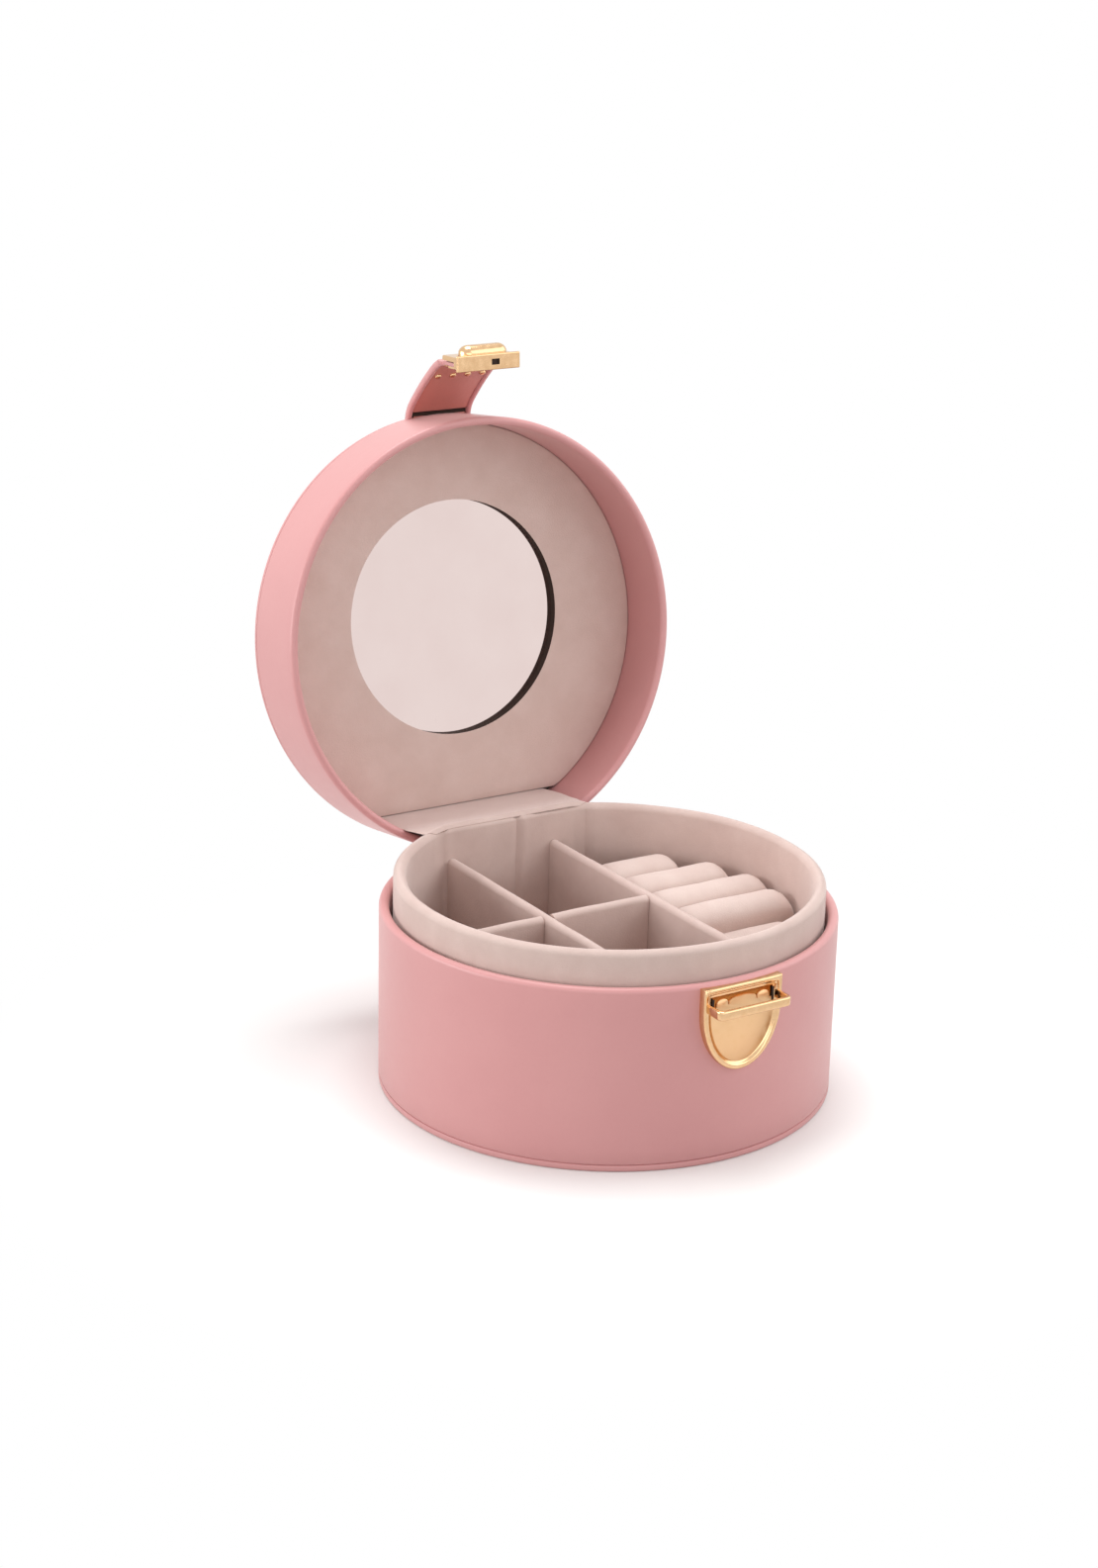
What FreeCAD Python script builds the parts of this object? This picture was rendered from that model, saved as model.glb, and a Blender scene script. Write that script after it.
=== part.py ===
import FreeCAD, Part
import math
import os

# Round leatherette jewellery case with a flat hinge side, standing open.
# Millimetres. Origin: centre of the underside. +Z up, clasp side towards -Y.

# Outline of the case
case_radius = 60.0          # outside of the base wall
lid_step = 0.6              # lid wall inside the base wall's outline
flat_cut = 4.2              # flat hinge side, cut from the round outline
corner_radius = 12.0        # bend between the round wall and the flat side

# Sheet goods
leather = 0.6               # leatherette cover
velvet = 0.7                # velvet lining
fit = 0.15                  # clearance of a loose fit
slide_gap = 0.05            # clearance of the button and its spring

# Base
base_height = 49.0          # underside to the rim of the base wall
bottom_board = 1.2          # board in the bottom panel
bottom_round = 0.5          # rounding of the bottom edge
wall_board = 1.5            # board in the base wall
rim_round = 1.1             # rounding of the leather over the rims
turn_in = 7.0               # leather turned in behind the base rim
floor_board = 1.8           # board under the velvet floor

# Raised collar inside the base
collar_inset = 3.6          # case outside to collar outside
collar_board = 2.0
collar_rise = 8.3           # collar above the base rim
collar_round = 1.5

# Dividers
divider = 3.0               # thickness, velvet included
divider_drop = 0.5          # dividers below the base rim
divider_round = 1.4
left_divider_x = -19.0
right_divider_x = 13.5
cross_divider_y = 0.3

# Ring rolls
roll_count = 6
roll_pitch_share = 12.4 / 60   # of the case radius
roll_shift_share = -2.5 / 60   # row set towards the front
roll_gap = 0.5              # between neighbouring rolls
roll_drop = 2.5             # top of the rolls below the base rim
roll_rise = 5.2             # height of the rounded top
roll_end_drop = 2.4         # how far the crest falls towards each end
roll_crown = 6.0            # length over which it falls, on a long roll

# Lid
lid_gap = 0.3               # between the closed rims
lid_depth = 22.6
lid_wall_board = 1.1
lid_top_board = 1.5
lid_edge_round = 1.6
mirror = 1.3                # glass thickness
mirror_radius = 35.5
mirror_hole = 32.5          # radius of the hole in the surround
mirror_y = -3.6             # centre of the mirror in the closed lid
surround_board = 1.5
surround_cut = 7.2          # straight lower edge of the surround, inside the flat side
open_angle = 97.8

# Fabric hinges
web_half = 22.0             # velvet web, half width
web_tuck = 1.2              # velvet web tucked under the surround
web_drop = 1.9              # web end below the collar's crest
strip_half = 17.0           # leather strip, half width
strip_reach = 16.0          # leather strip on the base and on the lid

# Lock plate, bridge and their fixing on the base
plate_half = 11.65
plate_drop = 0.8            # plate below the base rim
plate_height = 23.1
plate_field = 0.8           # field in front of the wall
plate_bead = 0.4            # bead in front of the field
plate_blank = 5.0           # blank reaches this far behind the wall's front, before it is trimmed
bead_width = 1.4
bridge_inner = 9.8          # half width of the way through
bridge_leg = 1.1
bridge_drop = 6.2           # underside of the bar below the plate's top
bridge_height = 2.4
bridge_stand = 5.6          # wall to the back of the bar
bridge_bar = 1.2            # bar thickness
bridge_round = 0.5          # rounding of the bar's front edges
rivet_radius = 0.9
rivet_head = 1.4
rivet_head_height = 0.4
rivet_x = 6.0
rivet_rise = 7.9            # rivets above the plate's foot
washer = 0.5
washer_half = 9.0
washer_half_height = 5.0

# Strap on the lid
strap_half = 10.0
strap_ply = 0.9             # each of its two layers
strap_length = 24.0         # between its two bends
strap_bow = 0.9             # how far it bows outwards
strap_lift = 37.0           # angle off the lid wall, lid open
strap_lift_shut = 5.9       # angle off the lid wall, locked
anchor = 0.9                # tab sewn into the top seam
anchor_length = 5.0

# Clasp end piece
clasp_half = 9.4
clasp_length = 9.5          # bend to the end face
clasp_start = 1.2           # bend to the mouth of the housing
clasp_below = 1.42          # inner face behind the strap's middle
clasp_above = 1.78          # outer face in front of the strap's middle
clasp_lift = -5.0           # angle off the lid wall, lid open
clasp_sheet = 0.5
clasp_round = 0.4
cover_start = 3.4           # bend to the back cover
strap_end = 3.2             # bend to the end of the leather
prong_count = 4
prong_pitch = 4.6
prong_radius = 0.55
prong_head = 0.85
prong_strip = 0.2
prong_strip_half_width = 0.85
prong_u = 2.1               # bend to the row of prongs
slot_x = 4.4                # slot in the end face
slot_half = 1.2
slot_half_height = 0.55

# Release button
button_half = 7.0
button_length = 5.0
button_end_gap = 0.65       # end face to the button
button_proud = 2.4
button_skirt = 0.8          # straight side below the dome
flange = 0.4
flange_reach = 1.2          # flange past each end of the button
spring_strip = 0.2
spring_half = 5.0
spring_width = 3.0

# Worked out from the values above
lid_radius = case_radius - lid_step
flat_back = case_radius - flat_cut
surround_flat = flat_back - surround_cut
rim_z = base_height + lid_gap
hinge_z = base_height + lid_gap / 2
collar_top = base_height + collar_rise
divider_top = base_height - divider_drop
roll_pitch = case_radius * roll_pitch_share
roll_shift = case_radius * roll_shift_share
roll_crest = base_height - roll_drop
plate_top = base_height - plate_drop
plate_bottom = plate_top - plate_height
bridge_low = plate_top - bridge_drop
bridge_high = bridge_low + bridge_height
rivet_z = plate_bottom + rivet_rise
seam_z = leather + bottom_board
floor_top = seam_z + floor_board + velvet
wall_inside = leather + wall_board
rim_inside = wall_inside + leather
collar_wall = collar_board + 2 * velvet
collar_inside = collar_inset + collar_wall
lid_inside = 2 * leather + lid_wall_board
lid_seam = lid_depth - leather - lid_top_board
mirror_face = lid_seam - mirror
surround_back = mirror_face - surround_board
surround_face = surround_back - velvet
strap_root_y = -(lid_radius + strap_ply + fit)
strap_root_z = rim_z + lid_seam - anchor / 2
button_flange_low = clasp_above - clasp_sheet - slide_gap - flange
button_travel = button_flange_low + clasp_below - clasp_sheet - spring_strip

V = FreeCAD.Vector


def case_outline(inset, radius):
    """Round outline with a flat back and bent corners, moved inwards."""
    outer = radius - inset
    flat = flat_back - inset
    corner = corner_radius - inset
    across = math.sqrt((outer - corner) ** 2 - (flat - corner) ** 2)
    centre = V(across, flat - corner, 0)
    touch = centre * (outer / (outer - corner))
    bisector = touch - centre + V(0, corner, 0)
    middle = centre + bisector.normalize() * corner
    start = V(across, flat, 0)
    mirrored = [V(-p.x, p.y, 0) for p in (touch, middle, start)]
    edges = [
        Part.Arc(start, middle, touch).toShape(),
        Part.Arc(touch, V(0, -outer, 0), mirrored[0]).toShape(),
        Part.Arc(*mirrored).toShape(),
        Part.LineSegment(mirrored[2], start).toShape(),
    ]
    return Part.Wire(edges)


def slab(inset, low, high, radius=case_radius):
    """Solid of the case outline between two heights."""
    face = Part.Face(case_outline(inset, radius))
    face.translate(V(0, 0, low))
    return face.extrude(V(0, 0, high - low))


def ring(outer_inset, inner_inset, low, high, radius=case_radius):
    """Wall of the case outline between two insets."""
    return slab(outer_inset, low, high, radius).cut(slab(inner_inset, low, high, radius))


def box(low, high):
    """Box between two corners."""
    size = [b - a for a, b in zip(low, high)]
    return Part.makeBox(*size, V(*low))


def edges_at(shape, axis, place):
    """Edges that lie wholly in the plane where that coordinate has that value."""
    found = []
    for edge in shape.Edges:
        bounds = edge.BoundBox
        low = getattr(bounds, axis + "Min")
        high = getattr(bounds, axis + "Max")
        if abs(low - place) < 1e-4 and abs(high - place) < 1e-4:
            found.append(edge)
    return found


def prism(points, half):
    """Solid of a (y, z) polygon, extruded both ways along X."""
    corners = [V(-half, y, z) for y, z in points]
    face = Part.Face(Part.makePolygon(corners + corners[:1]))
    return face.extrude(V(2 * half, 0, 0))


def opened(shape):
    """Swing a piece from the closed lid to the open one."""
    turned = shape.copy()
    turned.rotate(V(0, flat_back, hinge_z), V(1, 0, 0), -open_angle)
    return turned


def opened_point(y, z):
    """Where a point of the closed lid lies on the open one."""
    angle = math.radians(open_angle)
    out = y - flat_back
    up = z - hinge_z
    return (
        flat_back + out * math.cos(angle) + up * math.sin(angle),
        hinge_z - out * math.sin(angle) + up * math.cos(angle),
    )


# Base shell
def bottom_panel():
    board = slab(leather, leather, seam_z)
    cover = slab(0, 0, seam_z)
    cover = cover.makeFillet(bottom_round, edges_at(cover, "Z", 0))
    return board, cover.cut(board)


def base_wall(holes):
    top = base_height - leather
    board = ring(leather, wall_inside, seam_z, top)
    cover = ring(0, rim_inside, seam_z, base_height)
    cover = cover.makeFillet(rim_round, edges_at(cover, "Z", base_height))
    cover = cover.cut(board).cut(slab(wall_inside, seam_z, base_height - turn_in))
    return board.cut(holes), cover.cut(holes)


def floor_panel():
    inset = wall_inside + fit
    board_top = seam_z + floor_board
    return slab(inset, seam_z, board_top), slab(inset, board_top, floor_top)


def collar():
    board = ring(collar_inset + velvet, collar_inside - velvet, floor_top, collar_top - velvet)
    cover = ring(collar_inset, collar_inside, floor_top, collar_top)
    cover = cover.makeFillet(collar_round, edges_at(cover, "Z", collar_top))
    return board, cover.cut(board)


# Dividers
def divider_panel(low, high):
    """Upright panel with a rounded top, trimmed to the inside of the collar."""
    panel = box((*low, floor_top), (*high, divider_top))
    along = "x" if high[0] - low[0] > high[1] - low[1] else "y"
    crest = [
        edge for edge in edges_at(panel, "Z", divider_top)
        if abs(getattr(edge.tangentAt(edge.FirstParameter), along)) > 0.5
    ]
    panel = panel.makeFillet(divider_round, crest)
    return panel.common(slab(collar_inside + fit, floor_top, divider_top))


def dividers():
    half = divider / 2
    reach = case_radius
    left = divider_panel((left_divider_x - half, -reach), (left_divider_x + half, reach))
    right = divider_panel((right_divider_x - half, -reach), (right_divider_x + half, reach))
    cross_end = right_divider_x - half - fit
    cross = divider_panel((-reach, cross_divider_y - half), (cross_end, cross_divider_y + half))
    middle = (floor_top + divider_top) / 2
    room = half + fit
    left_slot = box(
        (left_divider_x - 2 * half, cross_divider_y - room, middle),
        (left_divider_x + 2 * half, cross_divider_y + room, divider_top + fit),
    )
    cross_slot = box(
        (left_divider_x - room, cross_divider_y - 2 * half, floor_top - fit),
        (left_divider_x + room, cross_divider_y + 2 * half, middle + fit),
    )
    return left.cut(left_slot), right, cross.cut(cross_slot)


# Ring rolls
def roll_section(x, y, crest):
    """Upright section of a roll with a round top."""
    half = (roll_pitch - roll_gap) / 2
    shoulder = crest - roll_rise
    corners = [V(x, y + half, shoulder), V(x, y + half, floor_top)]
    corners += [V(x, y - half, floor_top), V(x, y - half, shoulder)]
    sides = [Part.LineSegment(a, b).toShape() for a, b in zip(corners, corners[1:])]
    slope = roll_rise * math.sqrt(0.5)
    left_arc = Part.Arc(corners[3], V(x, y - half * math.sqrt(0.5), shoulder + slope), V(x, y, crest))
    right_arc = Part.Arc(V(x, y, crest), V(x, y + half * math.sqrt(0.5), shoulder + slope), corners[0])
    return Part.Wire(sides + [left_arc.toShape(), right_arc.toShape()])


def ring_roll(index):
    """Foam roll with a crown that falls at both ends, cut to the round collar."""
    y = roll_pitch * (index - (roll_count - 1) / 2) + roll_shift
    outer_edge = abs(y) + (roll_pitch - roll_gap) / 2
    start = right_divider_x + divider / 2 + fit
    reach = case_radius - collar_inside
    end = math.sqrt(reach ** 2 - outer_edge ** 2) - fit
    low = roll_crest - roll_end_drop
    crown = min(roll_crown, 0.4 * (end - start))
    stations = [
        (start, low),
        (start + crown, roll_crest),
        (end - crown, roll_crest),
        (end, low),
    ]
    return Part.makeLoft([roll_section(x, y, crest) for x, crest in stations], True, True)


# Fabric hinges
def velvet_web():
    """Velvet from under the surround's lower edge to the collar's back."""
    half = velvet / 2
    start_y, start_z = opened_point(surround_flat + half + fit, rim_z + surround_face + web_tuck)
    end_y = flat_back - collar_inset + fit
    end_z = collar_top - web_drop
    run_y = start_y - end_y
    run_z = start_z - end_z
    length = math.hypot(run_y, run_z)
    side_y = -run_z / length * half
    side_z = run_y / length * half
    return prism(
        [
            (start_y + side_y, start_z + side_z),
            (end_y, end_z + side_z),
            (end_y, end_z - side_z),
            (start_y - side_y, start_z - side_z),
        ],
        web_half,
    )


def leather_strip():
    """Strip across the back of the base and of the lid, folded at the hinge line."""
    fold = leather * math.tan(math.radians(open_angle) / 2)
    lid_near = opened_point(flat_back, hinge_z + lid_gap / 2)
    lid_far = opened_point(flat_back, hinge_z + strip_reach)
    lid_far_out = opened_point(flat_back + leather, hinge_z + strip_reach)
    return prism(
        [
            (flat_back, base_height - strip_reach),
            (flat_back, hinge_z),
            lid_near,
            lid_far,
            lid_far_out,
            (flat_back + leather, hinge_z - fold),
            (flat_back + leather, base_height - strip_reach),
        ],
        strip_half,
    )


# Lock plate, bridge and rivets
def shield(margin, near, far):
    """Shield outline with a flat top and a round foot, between two distances from the axis."""
    half = plate_half - margin
    top = plate_top - margin
    centre = plate_bottom + plate_half
    points = [V(half, -near, centre), V(half, -near, top), V(-half, -near, top), V(-half, -near, centre)]
    edges = [Part.LineSegment(a, b).toShape() for a, b in zip(points, points[1:])]
    edges.append(Part.Arc(points[3], V(0, -near, centre - half), points[0]).toShape())
    return Part.Face(Part.Wire(edges)).extrude(V(0, near - far, 0))


def rivets(radius):
    """Two rivets through the wall."""
    inner = case_radius - wall_inside - washer - rivet_head_height
    length = case_radius + plate_field / 2 - inner
    pins = []
    for x in (-rivet_x, rivet_x):
        pins.append(Part.makeCylinder(radius, length, V(x, -inner, rivet_z), V(0, -1, 0)))
    return Part.makeCompound(pins)


def lock_parts():
    back = case_radius - plate_blank
    face = case_radius + plate_field
    bridge_back = case_radius + bridge_stand
    bridge_outer = bridge_inner + bridge_leg
    inside = slab(0, 0, base_height)
    plate = shield(0, back, face + plate_bead)
    plate = plate.cut(shield(bead_width, face, face + plate_bead)).cut(inside)
    bridge = box(
        (-bridge_outer, -(bridge_back + bridge_bar), bridge_low),
        (bridge_outer, -back, bridge_high),
    )
    way = box(
        (-bridge_inner, -bridge_back, bridge_low),
        (bridge_inner, -back, bridge_high),
    )
    bridge = bridge.cut(way)
    front = edges_at(bridge, "Y", -(bridge_back + bridge_bar))
    bridge = bridge.makeFillet(bridge_round, front).cut(inside)
    pins = rivets(rivet_radius)
    plate = plate.cut(bridge).cut(pins)
    washer_outer = wall_inside
    washer_inner = wall_inside + washer
    low = rivet_z - washer_half_height
    high = rivet_z + washer_half_height
    patch = box((-washer_half, -case_radius, low), (washer_half, 0, high))
    backing = ring(washer_outer, washer_inner, low, high).common(patch).cut(pins)
    inner = case_radius - washer_inner - rivet_head_height
    solids = []
    for pin, x in zip(pins.Solids, (-rivet_x, rivet_x)):
        head = Part.makeCylinder(rivet_head, 2 * rivet_head_height, V(x, -inner, rivet_z), V(0, -1, 0))
        head = head.common(slab(washer_inner, low, high))
        solids.append(pin.fuse(head).removeSplitter().Solids[0])
    return plate, bridge, backing, Part.makeCompound(solids)


# Lid
def lid_slab(inset, low, high):
    return slab(inset, rim_z + low, rim_z + high, lid_radius)


def strap_anchor():
    """Tab of the strap, sewn between the top panel and the wall."""
    tab = box(
        (-strap_half, -lid_radius, rim_z + lid_seam - anchor),
        (strap_half, anchor_length - lid_radius, rim_z + lid_seam),
    )
    return tab.common(lid_slab(0, lid_seam - anchor, lid_seam))


def lid_wall(tab):
    board = lid_slab(leather, leather, lid_seam).cut(lid_slab(leather + lid_wall_board, leather, lid_seam))
    cover = lid_slab(0, 0, lid_seam).cut(lid_slab(lid_inside, 0, lid_seam))
    cover = cover.makeFillet(rim_round, edges_at(cover, "Z", rim_z))
    return board.cut(tab), cover.cut(board).cut(tab)


def lid_top():
    board = lid_slab(leather, lid_seam, lid_depth - leather)
    cover = lid_slab(0, lid_seam, lid_depth)
    cover = cover.makeFillet(lid_edge_round, edges_at(cover, "Z", rim_z + lid_depth))
    return board.common(cover), cover.cut(board)


def surround_layer(low, high, hole):
    """Layer behind the lid's rim with a straight lower edge and a round hole."""
    layer = lid_slab(lid_inside + fit, low, high)
    keep = box(
        (-case_radius, -case_radius, rim_z + low),
        (case_radius, surround_flat, rim_z + high),
    )
    opening = Part.makeCylinder(hole, high - low, V(0, mirror_y, rim_z + low))
    return layer.common(keep).cut(opening)


def mirror_parts(tab):
    glass = Part.makeCylinder(mirror_radius, mirror, V(0, mirror_y, rim_z + mirror_face))
    spacer = surround_layer(mirror_face, lid_seam, mirror_radius + fit).cut(tab)
    board = surround_layer(surround_back, mirror_face, mirror_hole)
    facing = surround_layer(surround_face, surround_back, mirror_hole)
    return glass, spacer, board, facing


# Strap, made in the closed lid's place and then swung open
def strap_direction(lift):
    """Unit (y, z) along the strap at an angle off the lid wall."""
    angle = math.radians(lift)
    return -math.sin(angle), -math.cos(angle)


def strap_tip(lift):
    along_y, along_z = strap_direction(lift)
    return strap_root_y + strap_length * along_y, strap_root_z + strap_length * along_z


def strap_layer(inner, outer):
    """Layer of the bowed strap between two distances from its middle line."""
    along_y, along_z = strap_direction(strap_lift)
    out_y, out_z = along_z, -along_y
    bend = (strap_length ** 2 / 4 + strap_bow ** 2) / (2 * strap_bow)
    half_turn = math.asin(strap_length / 2 / bend)
    middle_y = strap_root_y + strap_length / 2 * along_y
    middle_z = strap_root_z + strap_length / 2 * along_z
    centre_y = middle_y - (bend - strap_bow) * out_y
    centre_z = middle_z - (bend - strap_bow) * out_z

    def point(radius, turn):
        along = radius * math.sin(turn)
        out = radius * math.cos(turn)
        y = centre_y + along * along_y + out * out_y
        z = centre_z + along * along_z + out * out_z
        return V(-strap_half, y, z)

    near = [point(bend + inner, turn) for turn in (-half_turn, 0, half_turn)]
    far = [point(bend + outer, turn) for turn in (half_turn, 0, -half_turn)]
    edges = [
        Part.Arc(*near).toShape(),
        Part.LineSegment(near[2], far[0]).toShape(),
        Part.Arc(*far).toShape(),
        Part.LineSegment(far[2], near[0]).toShape(),
    ]
    return Part.Face(Part.Wire(edges)).extrude(V(2 * strap_half, 0, 0))


# Clasp, made flat with x across, y along from the strap's bend and z outwards
def clasp_place(shape):
    """Put a flat clasp piece at the strap's tip and swing the lid open."""
    tip_y, tip_z = strap_tip(strap_lift)
    placed = shape.mirror(V(0, 0, 0), V(0, 0, 1))
    placed.rotate(V(0, 0, 0), V(1, 0, 0), -90 - clasp_lift)
    placed.translate(V(0, tip_y, tip_z))
    return opened(placed)


def pill(half, length, middle, low, high):
    """Upright solid with a long round-ended outline."""
    radius = length / 2
    straight = half - radius
    edges = [
        Part.LineSegment(V(-straight, middle - radius, low), V(straight, middle - radius, low)).toShape(),
        Part.Arc(
            V(straight, middle - radius, low), V(half, middle, low), V(straight, middle + radius, low)
        ).toShape(),
        Part.LineSegment(V(straight, middle + radius, low), V(-straight, middle + radius, low)).toShape(),
        Part.Arc(
            V(-straight, middle + radius, low), V(-half, middle, low), V(-straight, middle - radius, low)
        ).toShape(),
    ]
    return Part.Face(Part.Wire(edges)).extrude(V(0, 0, high - low))


def prong_places():
    return [prong_pitch * (i - (prong_count - 1) / 2) for i in range(prong_count)]


def clasp_parts():
    ceiling = clasp_above - clasp_sheet
    inner_half = clasp_half - clasp_sheet
    end = clasp_length - clasp_sheet
    middle = clasp_length - button_end_gap - button_length / 2
    housing = box((-clasp_half, clasp_start, -clasp_below), (clasp_half, clasp_length, clasp_above))
    housing = housing.makeFillet(clasp_round, edges_at(housing, "Z", clasp_above))
    housing = housing.cut(box((-inner_half, 0, -2 * clasp_below), (inner_half, end, ceiling)))
    window = pill(button_half + fit, button_length + 2 * fit, middle, 0, 2 * clasp_above)
    slot = box(
        (slot_x - slot_half, end - clasp_sheet, -slot_half_height),
        (slot_x + slot_half, 2 * clasp_length, slot_half_height),
    )
    housing = housing.cut(window).cut(slot)
    cover = box(
        (-inner_half + fit, cover_start, -clasp_below),
        (inner_half - fit, end - fit, clasp_sheet - clasp_below),
    )
    leather_end = box(
        (-inner_half + fit, strap_ply + fit, -strap_ply),
        (inner_half - fit, strap_end, strap_ply),
    )
    head_low = -clasp_below
    strip_low = -strap_ply - prong_strip
    pins = []
    for x in prong_places():
        pin = Part.makeCylinder(prong_radius, ceiling - strip_low, V(x, prong_u, strip_low))
        head = Part.makeCylinder(prong_head, strip_low - head_low, V(x, prong_u, head_low))
        pins.append(pin.fuse(head).removeSplitter().Solids[0])
    prongs = Part.makeCompound(pins)
    strip = box(
        (-inner_half + fit, prong_u - prong_strip_half_width, strip_low),
        (inner_half - fit, prong_u + prong_strip_half_width, -strap_ply),
    )
    return housing, cover, leather_end.cut(prongs), prongs, strip.cut(prongs)


def button_parts():
    middle = clasp_length - button_end_gap - button_length / 2
    top = clasp_above + button_proud
    flange_low = button_flange_low
    dome = pill(button_half, button_length, middle, flange_low, top)
    dome = dome.makeFillet(button_proud - button_skirt, edges_at(dome, "Z", top))
    reach = button_half + flange_reach
    plate = box(
        (-reach, middle - button_length / 2, flange_low),
        (reach, middle + button_length / 2, flange_low + flange),
    )
    floor = clasp_sheet - clasp_below
    crest = flange_low - slide_gap

    def arch(height, x):
        return [
            V(-x, middle - spring_width / 2, floor),
            V(0, middle - spring_width / 2, height),
            V(x, middle - spring_width / 2, floor),
        ]

    outer = arch(crest, spring_half)
    inner = arch(crest - spring_strip, spring_half - 2 * spring_strip)
    edges = [
        Part.Arc(*outer).toShape(),
        Part.LineSegment(outer[2], inner[2]).toShape(),
        Part.Arc(*inner).toShape(),
        Part.LineSegment(inner[0], outer[0]).toShape(),
    ]
    spring = Part.Face(Part.Wire(edges)).extrude(V(0, spring_width, 0))
    return dome.fuse(plate).removeSplitter(), spring


def pieces():
    """Every piece of the open case by its name."""
    made = {}
    made["bottom_board"], made["bottom_leather"] = bottom_panel()
    made["base_wall_board"], made["base_wall_leather"] = base_wall(rivets(rivet_radius))
    made["floor_board"], made["floor_velvet"] = floor_panel()
    made["collar_board"], made["collar_velvet"] = collar()
    made["left_divider"], made["right_divider"], made["cross_divider"] = dividers()
    for index in range(roll_count):
        made[f"ring_roll_{index + 1}"] = ring_roll(index)
    made["velvet_web"] = velvet_web()
    made["leather_strip"] = leather_strip()
    lock_names = ("lock_plate", "lock_bridge", "lock_washer", "lock_rivets")
    made.update(zip(lock_names, lock_parts()))

    tab = strap_anchor()
    lid = {"strap_anchor": tab}
    lid["lid_wall_board"], lid["lid_wall_leather"] = lid_wall(tab)
    lid["lid_top_board"], lid["lid_top_leather"] = lid_top()
    mirror_names = ("mirror_glass", "mirror_spacer", "surround_board", "surround_velvet")
    lid.update(zip(mirror_names, mirror_parts(tab)))
    lid["strap_lining"] = strap_layer(-strap_ply, 0)
    lid["strap_outer"] = strap_layer(0, strap_ply)
    made.update({name: opened(shape) for name, shape in lid.items()})

    clasp_names = ("clasp_housing", "clasp_back_cover", "strap_end", "clasp_prongs", "prong_strip")
    clasp = dict(zip(clasp_names, clasp_parts()))
    clasp["release_button"], clasp["button_spring"] = button_parts()
    made.update({name: clasp_place(shape) for name, shape in clasp.items()})
    return made


os.makedirs("parts", exist_ok=True)
for name, shape in pieces().items():
    shape.exportStep(f"parts/{name}.step")
    print(f"{name}: {len(shape.Solids)} solid, {shape.Volume:.1f} mm3, valid {shape.isValid()}")

root = opened_point(strap_root_y, strap_root_z)
tip = opened_point(*strap_tip(strap_lift))
shut_turn = strap_lift - strap_lift_shut
press_angle = math.radians(open_angle + clasp_lift)
print(f"lid hinge at y {flat_back:.3f}, z {hinge_z:.3f}, closes by {open_angle:.1f} degrees")
print(f"strap bend at y {root[0]:.3f}, z {root[1]:.3f}, locks at {shut_turn:.2f} degrees")
print(f"clasp bend at y {tip[0]:.3f}, z {tip[1]:.3f}, ratio {(clasp_lift - shut_turn) / shut_turn:.4f}")
press = f"along y {math.cos(press_angle):.5f}, z {-math.sin(press_angle):.5f}"
print(f"button travels {button_travel:.3f} {press}")
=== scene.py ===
import math

import bmesh
import bpy
from mathutils import Matrix, Vector, noise


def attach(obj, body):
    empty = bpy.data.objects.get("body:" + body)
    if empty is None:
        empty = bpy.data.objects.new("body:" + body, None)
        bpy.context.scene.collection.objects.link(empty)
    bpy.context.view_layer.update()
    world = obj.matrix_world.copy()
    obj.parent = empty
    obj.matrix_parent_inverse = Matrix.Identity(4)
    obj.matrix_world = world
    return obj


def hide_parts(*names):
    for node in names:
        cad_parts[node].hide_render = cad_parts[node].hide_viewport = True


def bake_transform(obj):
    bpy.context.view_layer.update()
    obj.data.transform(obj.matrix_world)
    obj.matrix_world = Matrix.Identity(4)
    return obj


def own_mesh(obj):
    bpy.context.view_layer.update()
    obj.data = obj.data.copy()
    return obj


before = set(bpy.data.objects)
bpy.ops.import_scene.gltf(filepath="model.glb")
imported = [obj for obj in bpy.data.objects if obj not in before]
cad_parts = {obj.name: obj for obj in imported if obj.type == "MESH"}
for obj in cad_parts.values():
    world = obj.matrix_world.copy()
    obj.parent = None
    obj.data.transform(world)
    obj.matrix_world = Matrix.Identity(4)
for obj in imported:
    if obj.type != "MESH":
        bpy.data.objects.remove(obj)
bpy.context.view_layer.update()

# Round jewellery case in pink leatherette with a velvet lining, standing open.
# Sizes are millimetres in the part's own frame: origin under the middle of the base, clasp towards -Y.
MM = 0.001

# Outline of the base and lid
CASE_RADIUS = 60.0
LID_RADIUS = 59.4
FLAT_BACK = 55.8
CORNER = 12.0
ROUND_STEPS = 168
CORNER_STEPS = 10
FLAT_STEPS = 48

# Base
BASE_TOP = 49.0
BOTTOM_SEAM = 1.8
WALL = 2.7
WALL_BOARD_FACE = 0.6
WALL_BOARD = 1.5
WALL_HEIGHTS = (6, 14, 24, 34, 42)
TURNED_IN = 7.0  # leather turned over the rim and down the inside
RIM_ROUND = 1.25
RIM_STEPS = 6
FOOT_ROUND = 0.6
FLOOR = 4.3
COLLAR_IN = 3.6
COLLAR_WALL = 3.4
COLLAR_TOP = 57.3
COLLAR_HEIGHTS = (FLOOR, 20, 36, 47, 52)
COLLAR_INSIDE = CASE_RADIUS - COLLAR_IN - COLLAR_WALL
COLLAR_SEAMS = (-22.5, 1.7, 23.0)
SEAMS_FROM_Y = 30  # seams show on the back of the collar alone
SEAM_DEPTH = 0.6
SEAM_WIDTH = 0.8
BEAD_STEP = 2.2  # puckered bead beside each seam
BEAD_WIDTH = 1.2

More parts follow.
